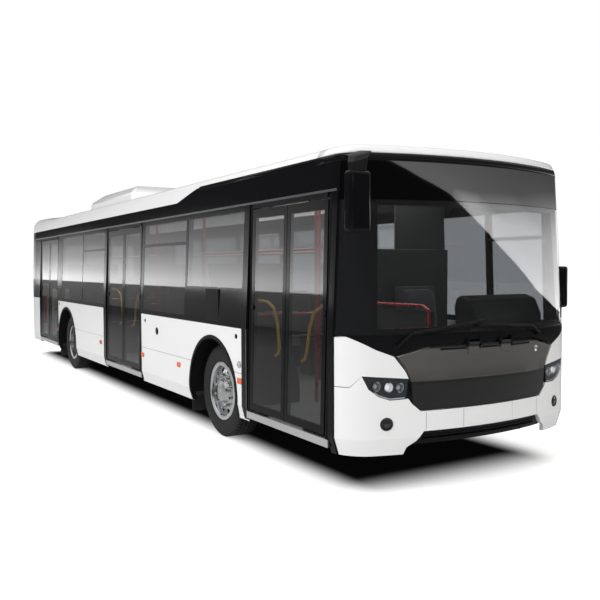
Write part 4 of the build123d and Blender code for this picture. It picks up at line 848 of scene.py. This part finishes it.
def build_markers():
    markers = {"amber": Batch(), "red": Batch()}
    for tone, x, z, s in MARKERS:
        wide = (x - MARKER_HALF_X, x + MARKER_HALF_X)
        markers[tone].side_box(s, wide, MARKER_Y, (z - MARKER_HALF_Z, z + MARKER_HALF_Z))
    markers["amber"].make("amber_markers", AMBER, slot="lamp_red", bevel=0.004)
    markers["red"].make("red_markers", RED_LENS, slot="lamp_red", bevel=0.004)


def build_side_caps():
    """Caps, turn lamp and vent cover of the right side."""
    caps = Batch()
    for x, z, r in CAPS:
        dome = [(0.0, r), (0.004, r), (0.006, r * 0.85), (0.006, 0.0)]
        caps.turned(dome, (x, CAP_Y, z), (0, -1, 0), count=28)
    caps.make("side_caps", TRIM, slot="black_plastic")
    lamp = Batch().turned(TURN_LAMP, TURN_LAMP_SPOT, (0, -1, 0), count=28)
    lamp.make("side_turn_lamp", LENS_SOLID, slot="lamp_chrome")
    boxes([VENT_COVER]).make("side_vent_cover", TRIM, slot="black_plastic", bevel=0.003)


def build_door_strips():
    """Dark strips on the wall beside the doorways."""
    posts = Batch()
    for x0, x1 in DOOR_STRIPS:
        section = ((x0, STRIP_IN), (x1, STRIP_IN), (x1, STRIP_OUT), (x0, STRIP_OUT))
        posts.skin([[(x, out - wall_y(z), z) for x, out in section] for z in STRIP_Z])
    posts.make("door_pillar_strips", BLACK, slot="black_paint")


# Doors: sills, headers, seals, buttons and handrails; the handrail is (share of the width, y, z)
DOOR_SILL = (0.004, (-1.2742, -1.2655), (0.345, 0.408))
DOOR_HEADER = (0.065, (-1.226, -1.190), (2.309, 2.352))
LEAF_GAP = 0.032
LEAF_LOW = 0.04
LEAF_TOP = WINDOW_TOP_Z - FLOOR_TOP - 0.05
SEAL_HALF = 0.013
SEAL_FROM = 0.004
SEAL_TO = 0.0012
KNOB_X = 0.056
KNOB_Y = -0.018
KNOB_Z = 1.0
KNOB_R = 0.024
KNOB_OUT = Vector((0, -0.009, 0))
HANDRAIL_R = 0.014
HANDRAIL = [
    (0.66, 0.014, 0.58), (0.66, 0.05, 0.60), (0.65, 0.06, 0.66), (0.59, 0.06, 0.86),
    (0.49, 0.06, 1.00), (0.30, 0.06, 1.055), (0.16, 0.05, 1.06), (0.06, 0.014, 1.06),
]


def over_doors(gap, ys, zs):
    """Boxes across the doorways, with a gap at both ends."""
    spans = [(x0 + gap, x1 - gap) for x0, x1 in DOORS.values()]
    return boxes([((x0, ys[0], zs[0]), (x1, ys[1], zs[1])) for x0, x1 in spans])


def build_leaf(body, x, way, width):
    """Seal, button and handrail of a leaf, in the leaf's leaning plane."""
    place = Matrix.Translation((x, -DOOR_Y, FLOOR_TOP)) @ Matrix.Rotation(-DOOR_TILT, 4, "X")
    near, far = sorted((way * (width - SEAL_FROM), way * (width - SEAL_TO)))
    seal = Batch().box((near, -SEAL_HALF, LEAF_LOW), (far, SEAL_HALF, LEAF_TOP), place)
    seal.make(f"{body}_seal", RUBBER, body, "tyre_rubber")
    spot = Vector((way * KNOB_X, KNOB_Y, KNOB_Z))
    knob = Batch().rod(place @ spot, place @ (spot + KNOB_OUT), KNOB_R, count=20)
    knob.make(f"{body}_button", TRIM, body, "black_plastic")
    path = [place @ Vector((way * width * a, y, z)) for a, y, z in HANDRAIL]
    Batch().tube(path, HANDRAIL_R).make(f"{body}_handrail", YELLOW, body, "pole_paint")


def build_doors():
    over_doors(*DOOR_SILL).make("door_sills", SILL, slot="floor_metal", bevel=0.002)
    over_doors(*DOOR_HEADER).make("door_header_strips", TRIM, slot="black_plastic")
    for name, (x0, x1) in DOORS.items():
        width = (x1 - x0) / 2 - LEAF_GAP
        build_leaf(f"{name}_door_a", x0 + LEAF_GAP, 1, width)
        build_leaf(f"{name}_door_b", x1 - LEAF_GAP, -1, width)


# Lamps of the front, at (y, z); the middle one of three is lit
LAMP_LIT_Y = 0.925
LAMPS = ((0.838, 0.832), (LAMP_LIT_Y, 0.838), (1.02, 0.848))
LAMP_SET_BACK = 0.0085
BOWL = [(0.0, 0.0405), (-0.006, 0.0385), (-0.022, 0.034), (-0.040, 0.022), (-0.046, 0.0)]
LAMP_LENS = [(-0.044, 0.020), (-0.020, 0.020), (-0.012, 0.015), (-0.009, 0.0)]
BORDER = [(1.04, 0.805), (1.003, 0.778), (0.96, 0.762), (0.92, 0.748), (0.86, 0.750), (0.80, 0.752)]
BORDER_R = 0.005
BORDER_SET_BACK = 0.009
FOG_Y = 0.945
FOG_Z = 0.555
FOG_TURN = 0.3
FOG_OUT = 0.0035
FOG_RIM = [(-0.008, 0.046), (-0.001, 0.050), (0.004, 0.046), (0.001, 0.034), (-0.006, 0.032)]
FOG_LENS = [(-0.006, 0.030), (0.001, 0.029), (0.005, 0.018), (0.006, 0.0)]


def build_lamps():
    bowls, bulbs, dips, borders, rims, fogs = (Batch() for _ in range(6))
    for s in BOTH:
        for y, z in LAMPS:
            centre = (nose_x(y, z) - LAMP_SET_BACK, s * y, z)
            bowls.turned(BOWL, centre, (1, 0, 0), count=32, caps=False)
            lens = bulbs if y == LAMP_LIT_Y else dips
            lens.turned(LAMP_LENS, centre, (1, 0, 0), count=24)
        borders.tube([(nose_x(y, z) - BORDER_SET_BACK, s * y, z) for y, z in BORDER], BORDER_R, count=10)
        fog = (nose_x(FOG_Y, FOG_Z) + FOG_OUT, s * FOG_Y, FOG_Z)
        way = (math.cos(FOG_TURN), s * math.sin(FOG_TURN), 0)
        rims.turned(FOG_RIM, fog, way, count=36, loop=True)
        fogs.turned(FOG_LENS, fog, way, count=28)
    bowls.make("lamp_bowls", CHROME, slot="lamp_chrome")
    rims.make("fog_rims", BEZEL, slot="lamp_chrome")
    dips.make("lamp_dip_lenses", LENS_SOLID, slot="lamp_chrome")
    borders.make("lamp_borders", CHROME, slot="lamp_chrome")
    fogs.make("fog_lenses", FOG_GLASS, slot="lamp_chrome")
    bulbs.make("lamp_projectors", LENS_GLOW, slot="lamp_chrome")


# Bumper, flap, intake and wipers; sections are (out, z)
PLATE_HALF = 0.27
PLATE = [(-0.002, 0.497), (0.0035, 0.497), (0.0035, 0.625), (-0.002, 0.625)]
BUMPER_SEAMS_Y = (0.272, -0.274, 0.62, -0.622)
BUMPER_SEAM_W = 0.002
BUMPER_SEAM = [(-0.002, 0.49), (0.0008, 0.49), (0.0008, 0.635), (-0.002, 0.635)]
FOLD_HALF = 0.66
FOLD_STEPS = 40
FOLD = (
    (-0.004, 0.866), (0.001, 0.868), (0.016, 0.886), (0.013, 0.95),
    (0.007, 1.02), (0.001, 1.085), (-0.004, 1.09),
)
FLAP_SLOTS_Y = ((-0.50, -0.265), (-0.09, 0.09), (0.265, 0.50))
FLAP_SLOT = [(-0.004, 1.110), (0.0015, 1.110), (0.0015, 1.124), (-0.004, 1.124)]
LOCK_Y = 0.60
LOCK_Z = 1.06
LOCK_WAY = (0.98, 0.19, 0)
LOCK = [(-0.003, 0.026), (0.003, 0.026), (0.005, 0.021), (0.003, 0.016), (0.003, 0.0)]
INTAKE_HALF = 0.62
INTAKE_Z = (0.405, 0.432, 0.459)
WIPERS = (((-0.74, 1.250), (-0.06, 1.335)), ((0.50, 1.262), (-0.14, 1.303)))
BLADE = ((0.003, -0.006), (0.016, -0.010), (0.020, 0.012), (0.003, 0.004))
BLADE_STEPS = 16
BLADE_LIFT = 0.004


def build_bumper():
    plate = Batch().across(-PLATE_HALF, PLATE_HALF, PLATE)
    plate.make("front_plate_panel", WHITE, slot="white_paint", bevel=0.001)
    lines = Batch()
    for y in BUMPER_SEAMS_Y:
        lines.across(y, y + BUMPER_SEAM_W, BUMPER_SEAM, steps=1)
    lines.make("bumper_seams", GREY, slot="black_plastic")


def build_flap():
    """Fold, slots and lock that ride on the flap; the slots are black strips that stand for the shade in the
    flap's slots, a painted shade.
    """
    loops = []
    for k in range(FOLD_STEPS + 1):
        y = mixed(-FOLD_HALF, FOLD_HALF, k / FOLD_STEPS)
        rise = 1.0 - (abs(y) / FOLD_HALF) ** 4
        loops.append([(nose_x(y, z) + (a * rise if a > 0 else a), y, z) for a, z in FOLD])
    Batch().skin(loops).make("flap_fold", FLAP, "front_flap", "black_paint")
    slots = Batch()
    # Black strips laid on the flap as the painted shade of its slots
    for y0, y1 in FLAP_SLOTS_Y:
        slots.across(y0, y1, FLAP_SLOT, steps=8)
    slots.make("flap_slot_shade", BLACK, "front_flap", "black_paint")
    lock = Batch().turned(LOCK, (nose_x(LOCK_Y, LOCK_Z), LOCK_Y, LOCK_Z), LOCK_WAY, count=28)
    lock.make("flap_lock", ALLOY, "front_flap", "rim_steel")


def build_intake():
    bars = Batch()
    for z in INTAKE_Z:
        section = [(-0.046, z), (-0.028, z), (-0.026, z + 0.008), (-0.046, z + 0.012)]
        bars.across(-INTAKE_HALF, INTAKE_HALF, section)
    bars.make("intake_bars", TRIM, slot="black_plastic")


def build_wipers():
    blades = Batch()
    for elbow, tip in WIPERS:
        loops = []
        for k in range(BLADE_STEPS + 1):
            y = mixed(elbow[0], tip[0], k / BLADE_STEPS)
            z = mixed(elbow[1], tip[1], k / BLADE_STEPS) + BLADE_LIFT
            loops.append([(nose_x(y, z) + a, y, z + b) for a, b in BLADE])
        blades.skin(loops)
    blades.make("wiper_blades", RUBBER, slot="tyre_rubber")


# Inside: cab screen, dash hood, ceiling lamps, rails
CAB_SCREEN = ((4.082, 0.43, 1.952), (4.108, 1.10, 2.64))
CEILING_LAMP = ((-5.2, 4.9), (0.50, 0.62), (2.70, 2.752))
HOOD_Y = (0.22, 1.06)
HOOD = [(5.50, 1.17), (5.24, 1.17), (5.21, 1.40), (5.24, 1.485), (5.30, 1.51), (5.42, 1.47), (5.49, 1.33)]
RAIL_R = 0.016
RAILS = [
    [(-3.5, -0.42, 1.95), (-0.69, -0.42, 1.95)],
    [(1.11, -0.42, 1.95), (3.9, -0.42, 1.95)],
    [(-1.4, 0.42, 1.95), (1.0, 0.42, 1.95), (2.648, 0.42, 1.95)],
    [(3.9, -0.42, 1.30), (3.9, -1.17, 1.30)],
    [(1.11, -0.42, 1.30), (1.11, -1.17, 1.30)],
    [(-0.69, -0.42, 1.30), (-0.69, -1.17, 1.30)],
    [(4.2, 0.128, 1.40), (4.9, 0.128, 1.40), (4.98, 0.128, 1.36), (4.99, 0.128, 1.12)],
]


def build_inside():
    boxes([CAB_SCREEN]).make("cab_screen", DASH, slot="black_plastic", bevel=0.004)
    hood = Batch().skin([[(x, y, z) for x, z in HOOD] for y in HOOD_Y])
    hood.make("dash_hood", TRIM, slot="black_plastic", bevel=0.02)
    lamps = Batch()
    for s in BOTH:
        lamps.side_box(s, *CEILING_LAMP)
    lamps.make("ceiling_lamps", LAMP_GLOW, slot="clear_glass", bevel=0.01)
    rails = Batch()
    for path in RAILS:
        rails.tube(path, RAIL_R)
    rails.make("hand_rails", RED, slot="pole_paint")


# Seat pads; a seat on the floor is (share of the wheelbase from its middle, side)
SEAT_Y = HALF_W - 0.555
SEAT_W = HALF_W - 0.395
WHEELBASE = AXLE_F - AXLE_R
MID_X = (AXLE_F + AXLE_R) / 2
FLOOR_SEATS = [
    (-0.674, 1), (-0.316, 1), (-0.186, 1), (-0.268, -1), (-0.056, 1),
    (0.074, 1), (0.204, 1), (0.253, -1), (0.334, 1),
]
FLOOR_SEAT_Z = FLOOR_TOP + 0.42
BOX_SEATS_Z = ((AXLE_F, 1.005 + 0.185), (AXLE_R, 1.03 + 0.185))
DRIVER_SEAT = (NOSE_X - 1.4, HALF_W - 0.655, 0.56 + 0.38, 0.225)
PAD_HALF = SEAT_W / 4 - 0.015
SEAT_TURN = Matrix.Rotation(math.radians(-4.3), 4, "Y")
BACK_TURN = Matrix.Rotation(math.radians(-7.7), 4, "Y")
BACK_SET = 0.18
BACK_RISE = 0.03
# Half length and height of the pads
SEAT_PAD = (0.185, 0.052)
BACK_PAD = (0.2525, 0.048)
SEAT_PAD_PLACE = Matrix.Translation((0.02, 0, 0.046))
BACK_PAD_PLACE = Matrix.Translation((0.002, 0, 0.3225)) @ Matrix.Rotation(math.pi / 2, 4, "Y")
CUSHION_ROWS = [(0.94, 0.0), (1.0, 0.35), (0.985, 0.6), (0.90, 0.82), (0.70, 0.95), (0.40, 1.0)]
CUSHION_POINTS = 32
CUSHION_POWER = 0.4
CUSHION_PULL = 0.06


def seat_spots():
    """Places (x, y, z, half width) of all seats, two to a bench and one for the driver."""
    places = [(MID_X + a * WHEELBASE, s * SEAT_Y, FLOOR_SEAT_Z) for a, s in FLOOR_SEATS]
    places += [(x, s * SEAT_Y, z) for x, z in BOX_SEATS_Z for s in BOTH]
    spots = [(x, y + s * SEAT_W / 4, z, PAD_HALF) for x, y, z in places for s in BOTH]
    return spots + [DRIVER_SEAT]


def rounded(share):
    return math.copysign(abs(share) ** CUSHION_POWER, share)


def cushion(batch, half_x, half_y, height, place):
    """Crowned pad whose sides pull in between the corners."""
    outline = []
    for k in range(CUSHION_POINTS):
        a = 2 * math.pi * (k + 0.5) / CUSHION_POINTS
        u = rounded(math.cos(a))
        v = rounded(math.sin(a))
        outline.append((u * (1 - CUSHION_PULL * (1 - v * v)), v * (1 - CUSHION_PULL * (1 - u * u))))
    rings = []
    for scale, level in CUSHION_ROWS:
        wide = [(half_x * scale * u, half_y * scale * v) for u, v in outline]
        rings.append([place @ Vector((x, y, height * level)) for x, y in wide])
    batch.skin(rings)


def build_pads():
    pads = Batch()
    for x, y, z, half in seat_spots():
        seat = Matrix.Translation((x, y, z)) @ SEAT_TURN
        cushion(pads, SEAT_PAD[0], half, SEAT_PAD[1], seat @ SEAT_PAD_PLACE)
        back = Matrix.Translation((x - BACK_SET, y, z + BACK_RISE)) @ BACK_TURN
        cushion(pads, BACK_PAD[0], half, BACK_PAD[1], back @ BACK_PAD_PLACE)
    soft = pads.make("seat_pads", CLOTH, slot="seat_cloth")


# Tail: slats of the hatch and discs of the lamps
SLATS = 9
SLAT_LOW_Z = 0.62
SLAT_PITCH = 0.055
SLAT_HALF = 0.62
SLAT_STEPS = 8
SLAT = ((0.006, 0.0), (-0.007, -0.004), (-0.007, 0.010), (0.006, 0.034))
REAR_LAMP_Y = 1.0475
REAR_LAMP_WAY = (-0.993, 0.117)
REAR_LAMPS = ((0.72, "clear"), (0.87, "red"), (1.02, "amber"), (1.17, "red"))
REAR_DISC = [(-0.004, 0.055), (0.006, 0.055), (0.011, 0.045), (0.013, 0.0)]


def build_slats():
    slats = Batch()
    for k in range(SLATS):
        z = SLAT_LOW_Z + SLAT_PITCH * k
        loops = []
        for j in range(SLAT_STEPS + 1):
            y = mixed(-SLAT_HALF, SLAT_HALF, j / SLAT_STEPS)
            loops.append([(tail_x(y) + a, y, z + b) for a, b in SLAT])
        slats.skin(loops)
    slats.make("hatch_slats", TRIM, "engine_hatch", "black_plastic")


def build_rear_lamps():
    discs = {"red": Batch(), "amber": Batch(), "clear": Batch()}
    for s in BOTH:
        for z, tone in REAR_LAMPS:
            spot = (tail_x(REAR_LAMP_Y), s * REAR_LAMP_Y, z)
            way = (REAR_LAMP_WAY[0], s * REAR_LAMP_WAY[1], 0)
            discs[tone].turned(REAR_DISC, spot, way, count=32)
    discs["red"].make("rear_red_discs", RED_LENS, slot="lamp_red")
    discs["amber"].make("rear_amber_discs", AMBER, slot="lamp_red")
    discs["clear"].make("rear_clear_discs", LENS_SOLID, slot="lamp_chrome")


# Camera
CAM = Vector((10.1967, -4.4007, 1.7573))
YAW = math.radians(148.974)
PITCH = math.radians(-2.486)
ROLL = math.radians(-0.202)
LENS_MM = 44.148
SENSOR_MM = 36.0


def aimed(place, way):
    """Matrix of a camera or lamp at a place that looks along a direction."""
    return Matrix.Translation(place) @ way.to_track_quat("-Z", "Y").to_matrix().to_4x4()


def add_camera():
    camera = bpy.data.objects.new("camera", bpy.data.cameras.new("camera"))
    scene.collection.objects.link(camera)
    level = math.cos(PITCH)
    ahead = Vector((math.cos(YAW) * level, math.sin(YAW) * level, math.sin(PITCH)))
    camera.matrix_world = aimed(CAM, ahead) @ Matrix.Rotation(ROLL, 4, "Z")
    camera.data.lens = LENS_MM
    camera.data.sensor_width = SENSOR_MM
    camera.data.clip_end = 200.0
    scene.camera = camera
    scene.view_settings.view_transform = "Standard"


# Ground: white, with a painted shadow under the bus drawn from its outline in plan, and greyer in
# reflections with distance
GROUND_HALF = 60
SHADE_X = -0.2
SHADE_HALF_X = 5.4
SHADE_HALF_Y = 0.85
SHADE_STRETCH = 0.6
SHADE_FADE = 0.38
SHADE_DEEP = 0.003
GROUND_TONE = 0.85
GROUND_LIFT = 0.55
MIRRORED_NEAR = (1.0, 0.46)
MIRRORED_FAR = (14.0, 0.09)


def plan_distance(tree):
    """Distance of the ground from the bus's outline in plan, counted less towards its ends."""
    spot = axes(tree)
    along = math_node(tree, "ABSOLUTE", math_node(tree, "SUBTRACT", spot["X"], SHADE_X))
    along = math_node(tree, "MAXIMUM", math_node(tree, "SUBTRACT", along, SHADE_HALF_X))
    along = math_node(tree, "MULTIPLY", along, SHADE_STRETCH)
    aside = math_node(tree, "SUBTRACT", math_node(tree, "ABSOLUTE", spot["Y"]), SHADE_HALF_Y)
    aside = math_node(tree, "MAXIMUM", aside)
    squares = [math_node(tree, "MULTIPLY", way, way) for way in (along, aside)]
    return math_node(tree, "SQRT", math_node(tree, "ADD", *squares))


def ground_material():
    material, tree = tree_of("studio_floor")
    off = plan_distance(tree)
    # clear is 1 away from the bus and falls to SHADE_DEEP under it: a painted shadow that darkens the
    # ground's colour, its glow to the camera and its look in reflections
    clear = ranged(tree, off, 0.0, SHADE_FADE, SHADE_DEEP, 1.0, "SMOOTHSTEP")
    level = math_node(tree, "MULTIPLY", clear, GROUND_TONE)
    tone = shade(tree, "CombineColor", {key: level for key in ("Red", "Green", "Blue")})
    matte = shade(tree, "BsdfDiffuse", {"Color": tone})
    path = shader(tree, "LightPath").outputs
    lift = math_node(tree, "MULTIPLY", path["Is Camera Ray"], GROUND_LIFT)
    glow = shade(tree, "Emission", {"Strength": math_node(tree, "MULTIPLY", clear, lift)})
    lit = shade(tree, "AddShader", {0: matte, 1: glow})
    far = ranged(tree, off, MIRRORED_NEAR[0], MIRRORED_FAR[0], MIRRORED_NEAR[1], MIRRORED_FAR[1])
    mirrored = shade(tree, "Emission", {"Strength": math_node(tree, "MULTIPLY", clear, far)})
    return closed(material, blend(tree, path["Is Glossy Ray"], lit, mirrored))


def add_ground():
    data = bpy.data.meshes.new("ground")
    corners = [(x * GROUND_HALF, y * GROUND_HALF, 0) for x, y in ((-1, -1), (1, -1), (1, 1), (-1, 1))]
    data.from_pydata(corners, [], [(0, 1, 2, 3)])
    data.materials.append(ground_material())
    ground = bpy.data.objects.new("ground", data)
    scene.collection.objects.link(ground)


# Reflector beside the bus and before it, seen only in its glass and paint. In the side it is bright
# above one height, with rows of (z, level), and in the windscreen above one slanting line of (y, z),
# with rows of (distance from the line, level).
CARD_Y = -12.0
CARD_POWER = 3.5
CARD_BACK_X = -5.95
CARD_STEPS = 6
CARD_ROWS = [
    (1.15, 0.07), (1.547, 0.12), (1.55, 1.0), (1.62, 0.95),
    (1.75, 0.66), (1.95, 0.38), (2.2, 0.22), (2.35, 0.17),
]
GLARE_LINE = [
    (-1.2, 2.79), (-0.99, 2.63), (-0.62, 2.46), (-0.36, 2.34),
    (-0.17, 2.19), (0.15, 1.93), (0.64, 1.56), (1.2, 1.26),
]
GLARE_ROWS = [(0.0, 1.15), (0.06, 1.15), (0.2, 0.95), (0.5, 0.68), (1.0, 0.32), (1.6, 0.16)]
GLARE_WAY = (0.5, 0.87)
GLARE_SIGN = 0.32
GLARE_FAR = 14.0


def stretches():
    """Lengths (back, front, tilt) of the right side: walls and doors in turn."""
    runs = []
    back = CARD_BACK_X
    for x0, x1 in DOORS.values():
        runs += [(back, x0, WALL_TILT), (x0, x1, DOOR_TILT)]
        back = x1
    return runs


def side_spot(x, z, tilt):
    """Where the camera sees the reflector's plane in the side at a point."""
    spot = Vector((x, -wall_y(z), z))
    normal = Vector((0, -math.cos(tilt), math.sin(tilt)))
    way = (spot - CAM).reflect(normal)
    return spot + way * ((CARD_Y - spot.y) / way.y)


def screen_spot(y, z):
    """A point that the camera sees in the windscreen at a point."""
    spot = Vector((nose_x(y, z), y, z))
    normal = Vector((1.0, y / math.sqrt(BOW_R ** 2 - y ** 2), RAKE_SLOPE)).normalized()
    return spot + GLARE_FAR * (spot - CAM).normalized().reflect(normal)


def side_grid(x0, x1, tilt):
    """Rows of (point, level) for one length of the side."""
    xs = [mixed(x0, x1, k / CARD_STEPS) for k in range(CARD_STEPS + 1)]
    return [[(side_spot(x, z, tilt), level) for x in xs] for z, level in CARD_ROWS]


def screen_grid():
    """Rows of (point, level) for the windscreen, weaker in the sign's glass."""
    grid = []
    for off, level in GLARE_ROWS:
        line = [(y + GLARE_WAY[0] * off, z + GLARE_WAY[1] * off) for y, z in GLARE_LINE]
        grid.append([(screen_spot(y, z), level * (GLARE_SIGN if z > SIGN_SEAM_Z else 1.0)) for y, z in line])
    return grid


def reflector_mesh():
    """Mesh of all grids, with the levels as the attribute shine."""
    mesh = bmesh.new()
    levels = []
    for grid in [side_grid(*run) for run in stretches()] + [screen_grid()]:
        rows = [[mesh.verts.new(spot) for spot, _ in row] for row in grid]
        levels += [level for row in grid for _, level in row]
        for one, two in zip(rows, rows[1:]):
            for i in range(len(one) - 1):
                mesh.faces.new((one[i], one[i + 1], two[i + 1], two[i]))
    data = bpy.data.meshes.new("reflector")
    mesh.to_mesh(data)
    mesh.free()
    shine = data.attributes.new("shine", "FLOAT", "POINT")
    shine.data.foreach_set("value", levels)
    return data


def reflector_material():
    material, tree = tree_of("reflector_shine")
    reading = shader(tree, "Attribute")
    reading.attribute_name = "shine"
    power = math_node(tree, "MULTIPLY", reading.outputs["Fac"], CARD_POWER)
    glow = shade(tree, "Emission", {"Strength": power})
    path = shader(tree, "LightPath").outputs
    return closed(material, blend(tree, path["Is Glossy Ray"], shade(tree, "BsdfTransparent"), glow))


def add_reflector():
    data = reflector_mesh()
    data.materials.append(reflector_material())
    card = bpy.data.objects.new("reflector", data)
    scene.collection.objects.link(card)


# World and lamps: white to the camera, a studio's sky in reflections
SKY = [(0.0, 0.05), (0.3, 0.04), (0.42, 0.35), (0.6, 0.8), (1.0, 1.0)]
SKY_POWER = 0.8
FILL_TONE = (1.0, 0.995, 0.975, 1)
FILL_POWER = 0.68
# Name, place, target, size and power
SOFTBOXES = (
    ("key", (7.0, -10.0, 8.0), (0.5, -0.5, 1.2), (9.0, 6.0), 545.0),
    ("top", (0.0, 0.0, 9.0), (0.0, 0.0, 0.0), (14.0, 6.0), 330.0),
    ("side", (-6.0, -11.0, 7.0), (-3.0, 0.0, 2.5), (6.0, 4.0), 380.0),
    ("front", (14.0, 3.0, 5.0), (5.5, 0.0, 1.4), (4.0, 4.0), 70.0),
)


def add_world():
    world = bpy.data.worlds.new("studio")
    scene.world = world
    world.use_nodes = True
    tree = world.node_tree
    tree.nodes.clear()
    seen = shade(tree, "Background", {"Color": (1, 1, 1, 1), "Strength": 1.0})
    lit = shade(tree, "Background", {"Color": FILL_TONE, "Strength": FILL_POWER})
    tone = ramp_of(tree, axes(tree, "Generated")["Z"], SKY)
    sky = shade(tree, "Background", {"Color": tone, "Strength": SKY_POWER})
    path = shader(tree, "LightPath").outputs
    unseen = blend(tree, path["Is Glossy Ray"], lit, sky)
    shader(tree, "OutputWorld", {"Surface": blend(tree, path["Is Camera Ray"], unseen, seen)})


def add_softbox(name, place, target, size, power):
    """Area lamp that shows neither to the camera nor in reflections."""
    data = bpy.data.lights.new(name, "AREA")
    data.shape = "RECTANGLE"
    data.size, data.size_y = size
    data.energy = power
    lamp = bpy.data.objects.new(name, data)
    scene.collection.objects.link(lamp)
    lamp.matrix_world = aimed(place, Vector(target) - Vector(place))
    lamp.visible_camera = False
    lamp.visible_glossy = False


build_roof()
build_cap()
build_pod()
build_sign()
build_mirrors()
build_wheels()
build_arches()
build_gutters()
build_seams()
build_markers()
build_side_caps()
build_door_strips()
build_doors()
build_lamps()
build_bumper()
build_flap()
build_intake()
build_wipers()
build_mirror_faces()
build_inside()
build_pads()
build_fans()
build_slats()
build_rear_lamps()
add_camera()
add_ground()
add_reflector()
add_world()
for softbox in SOFTBOXES:
    add_softbox(*softbox)
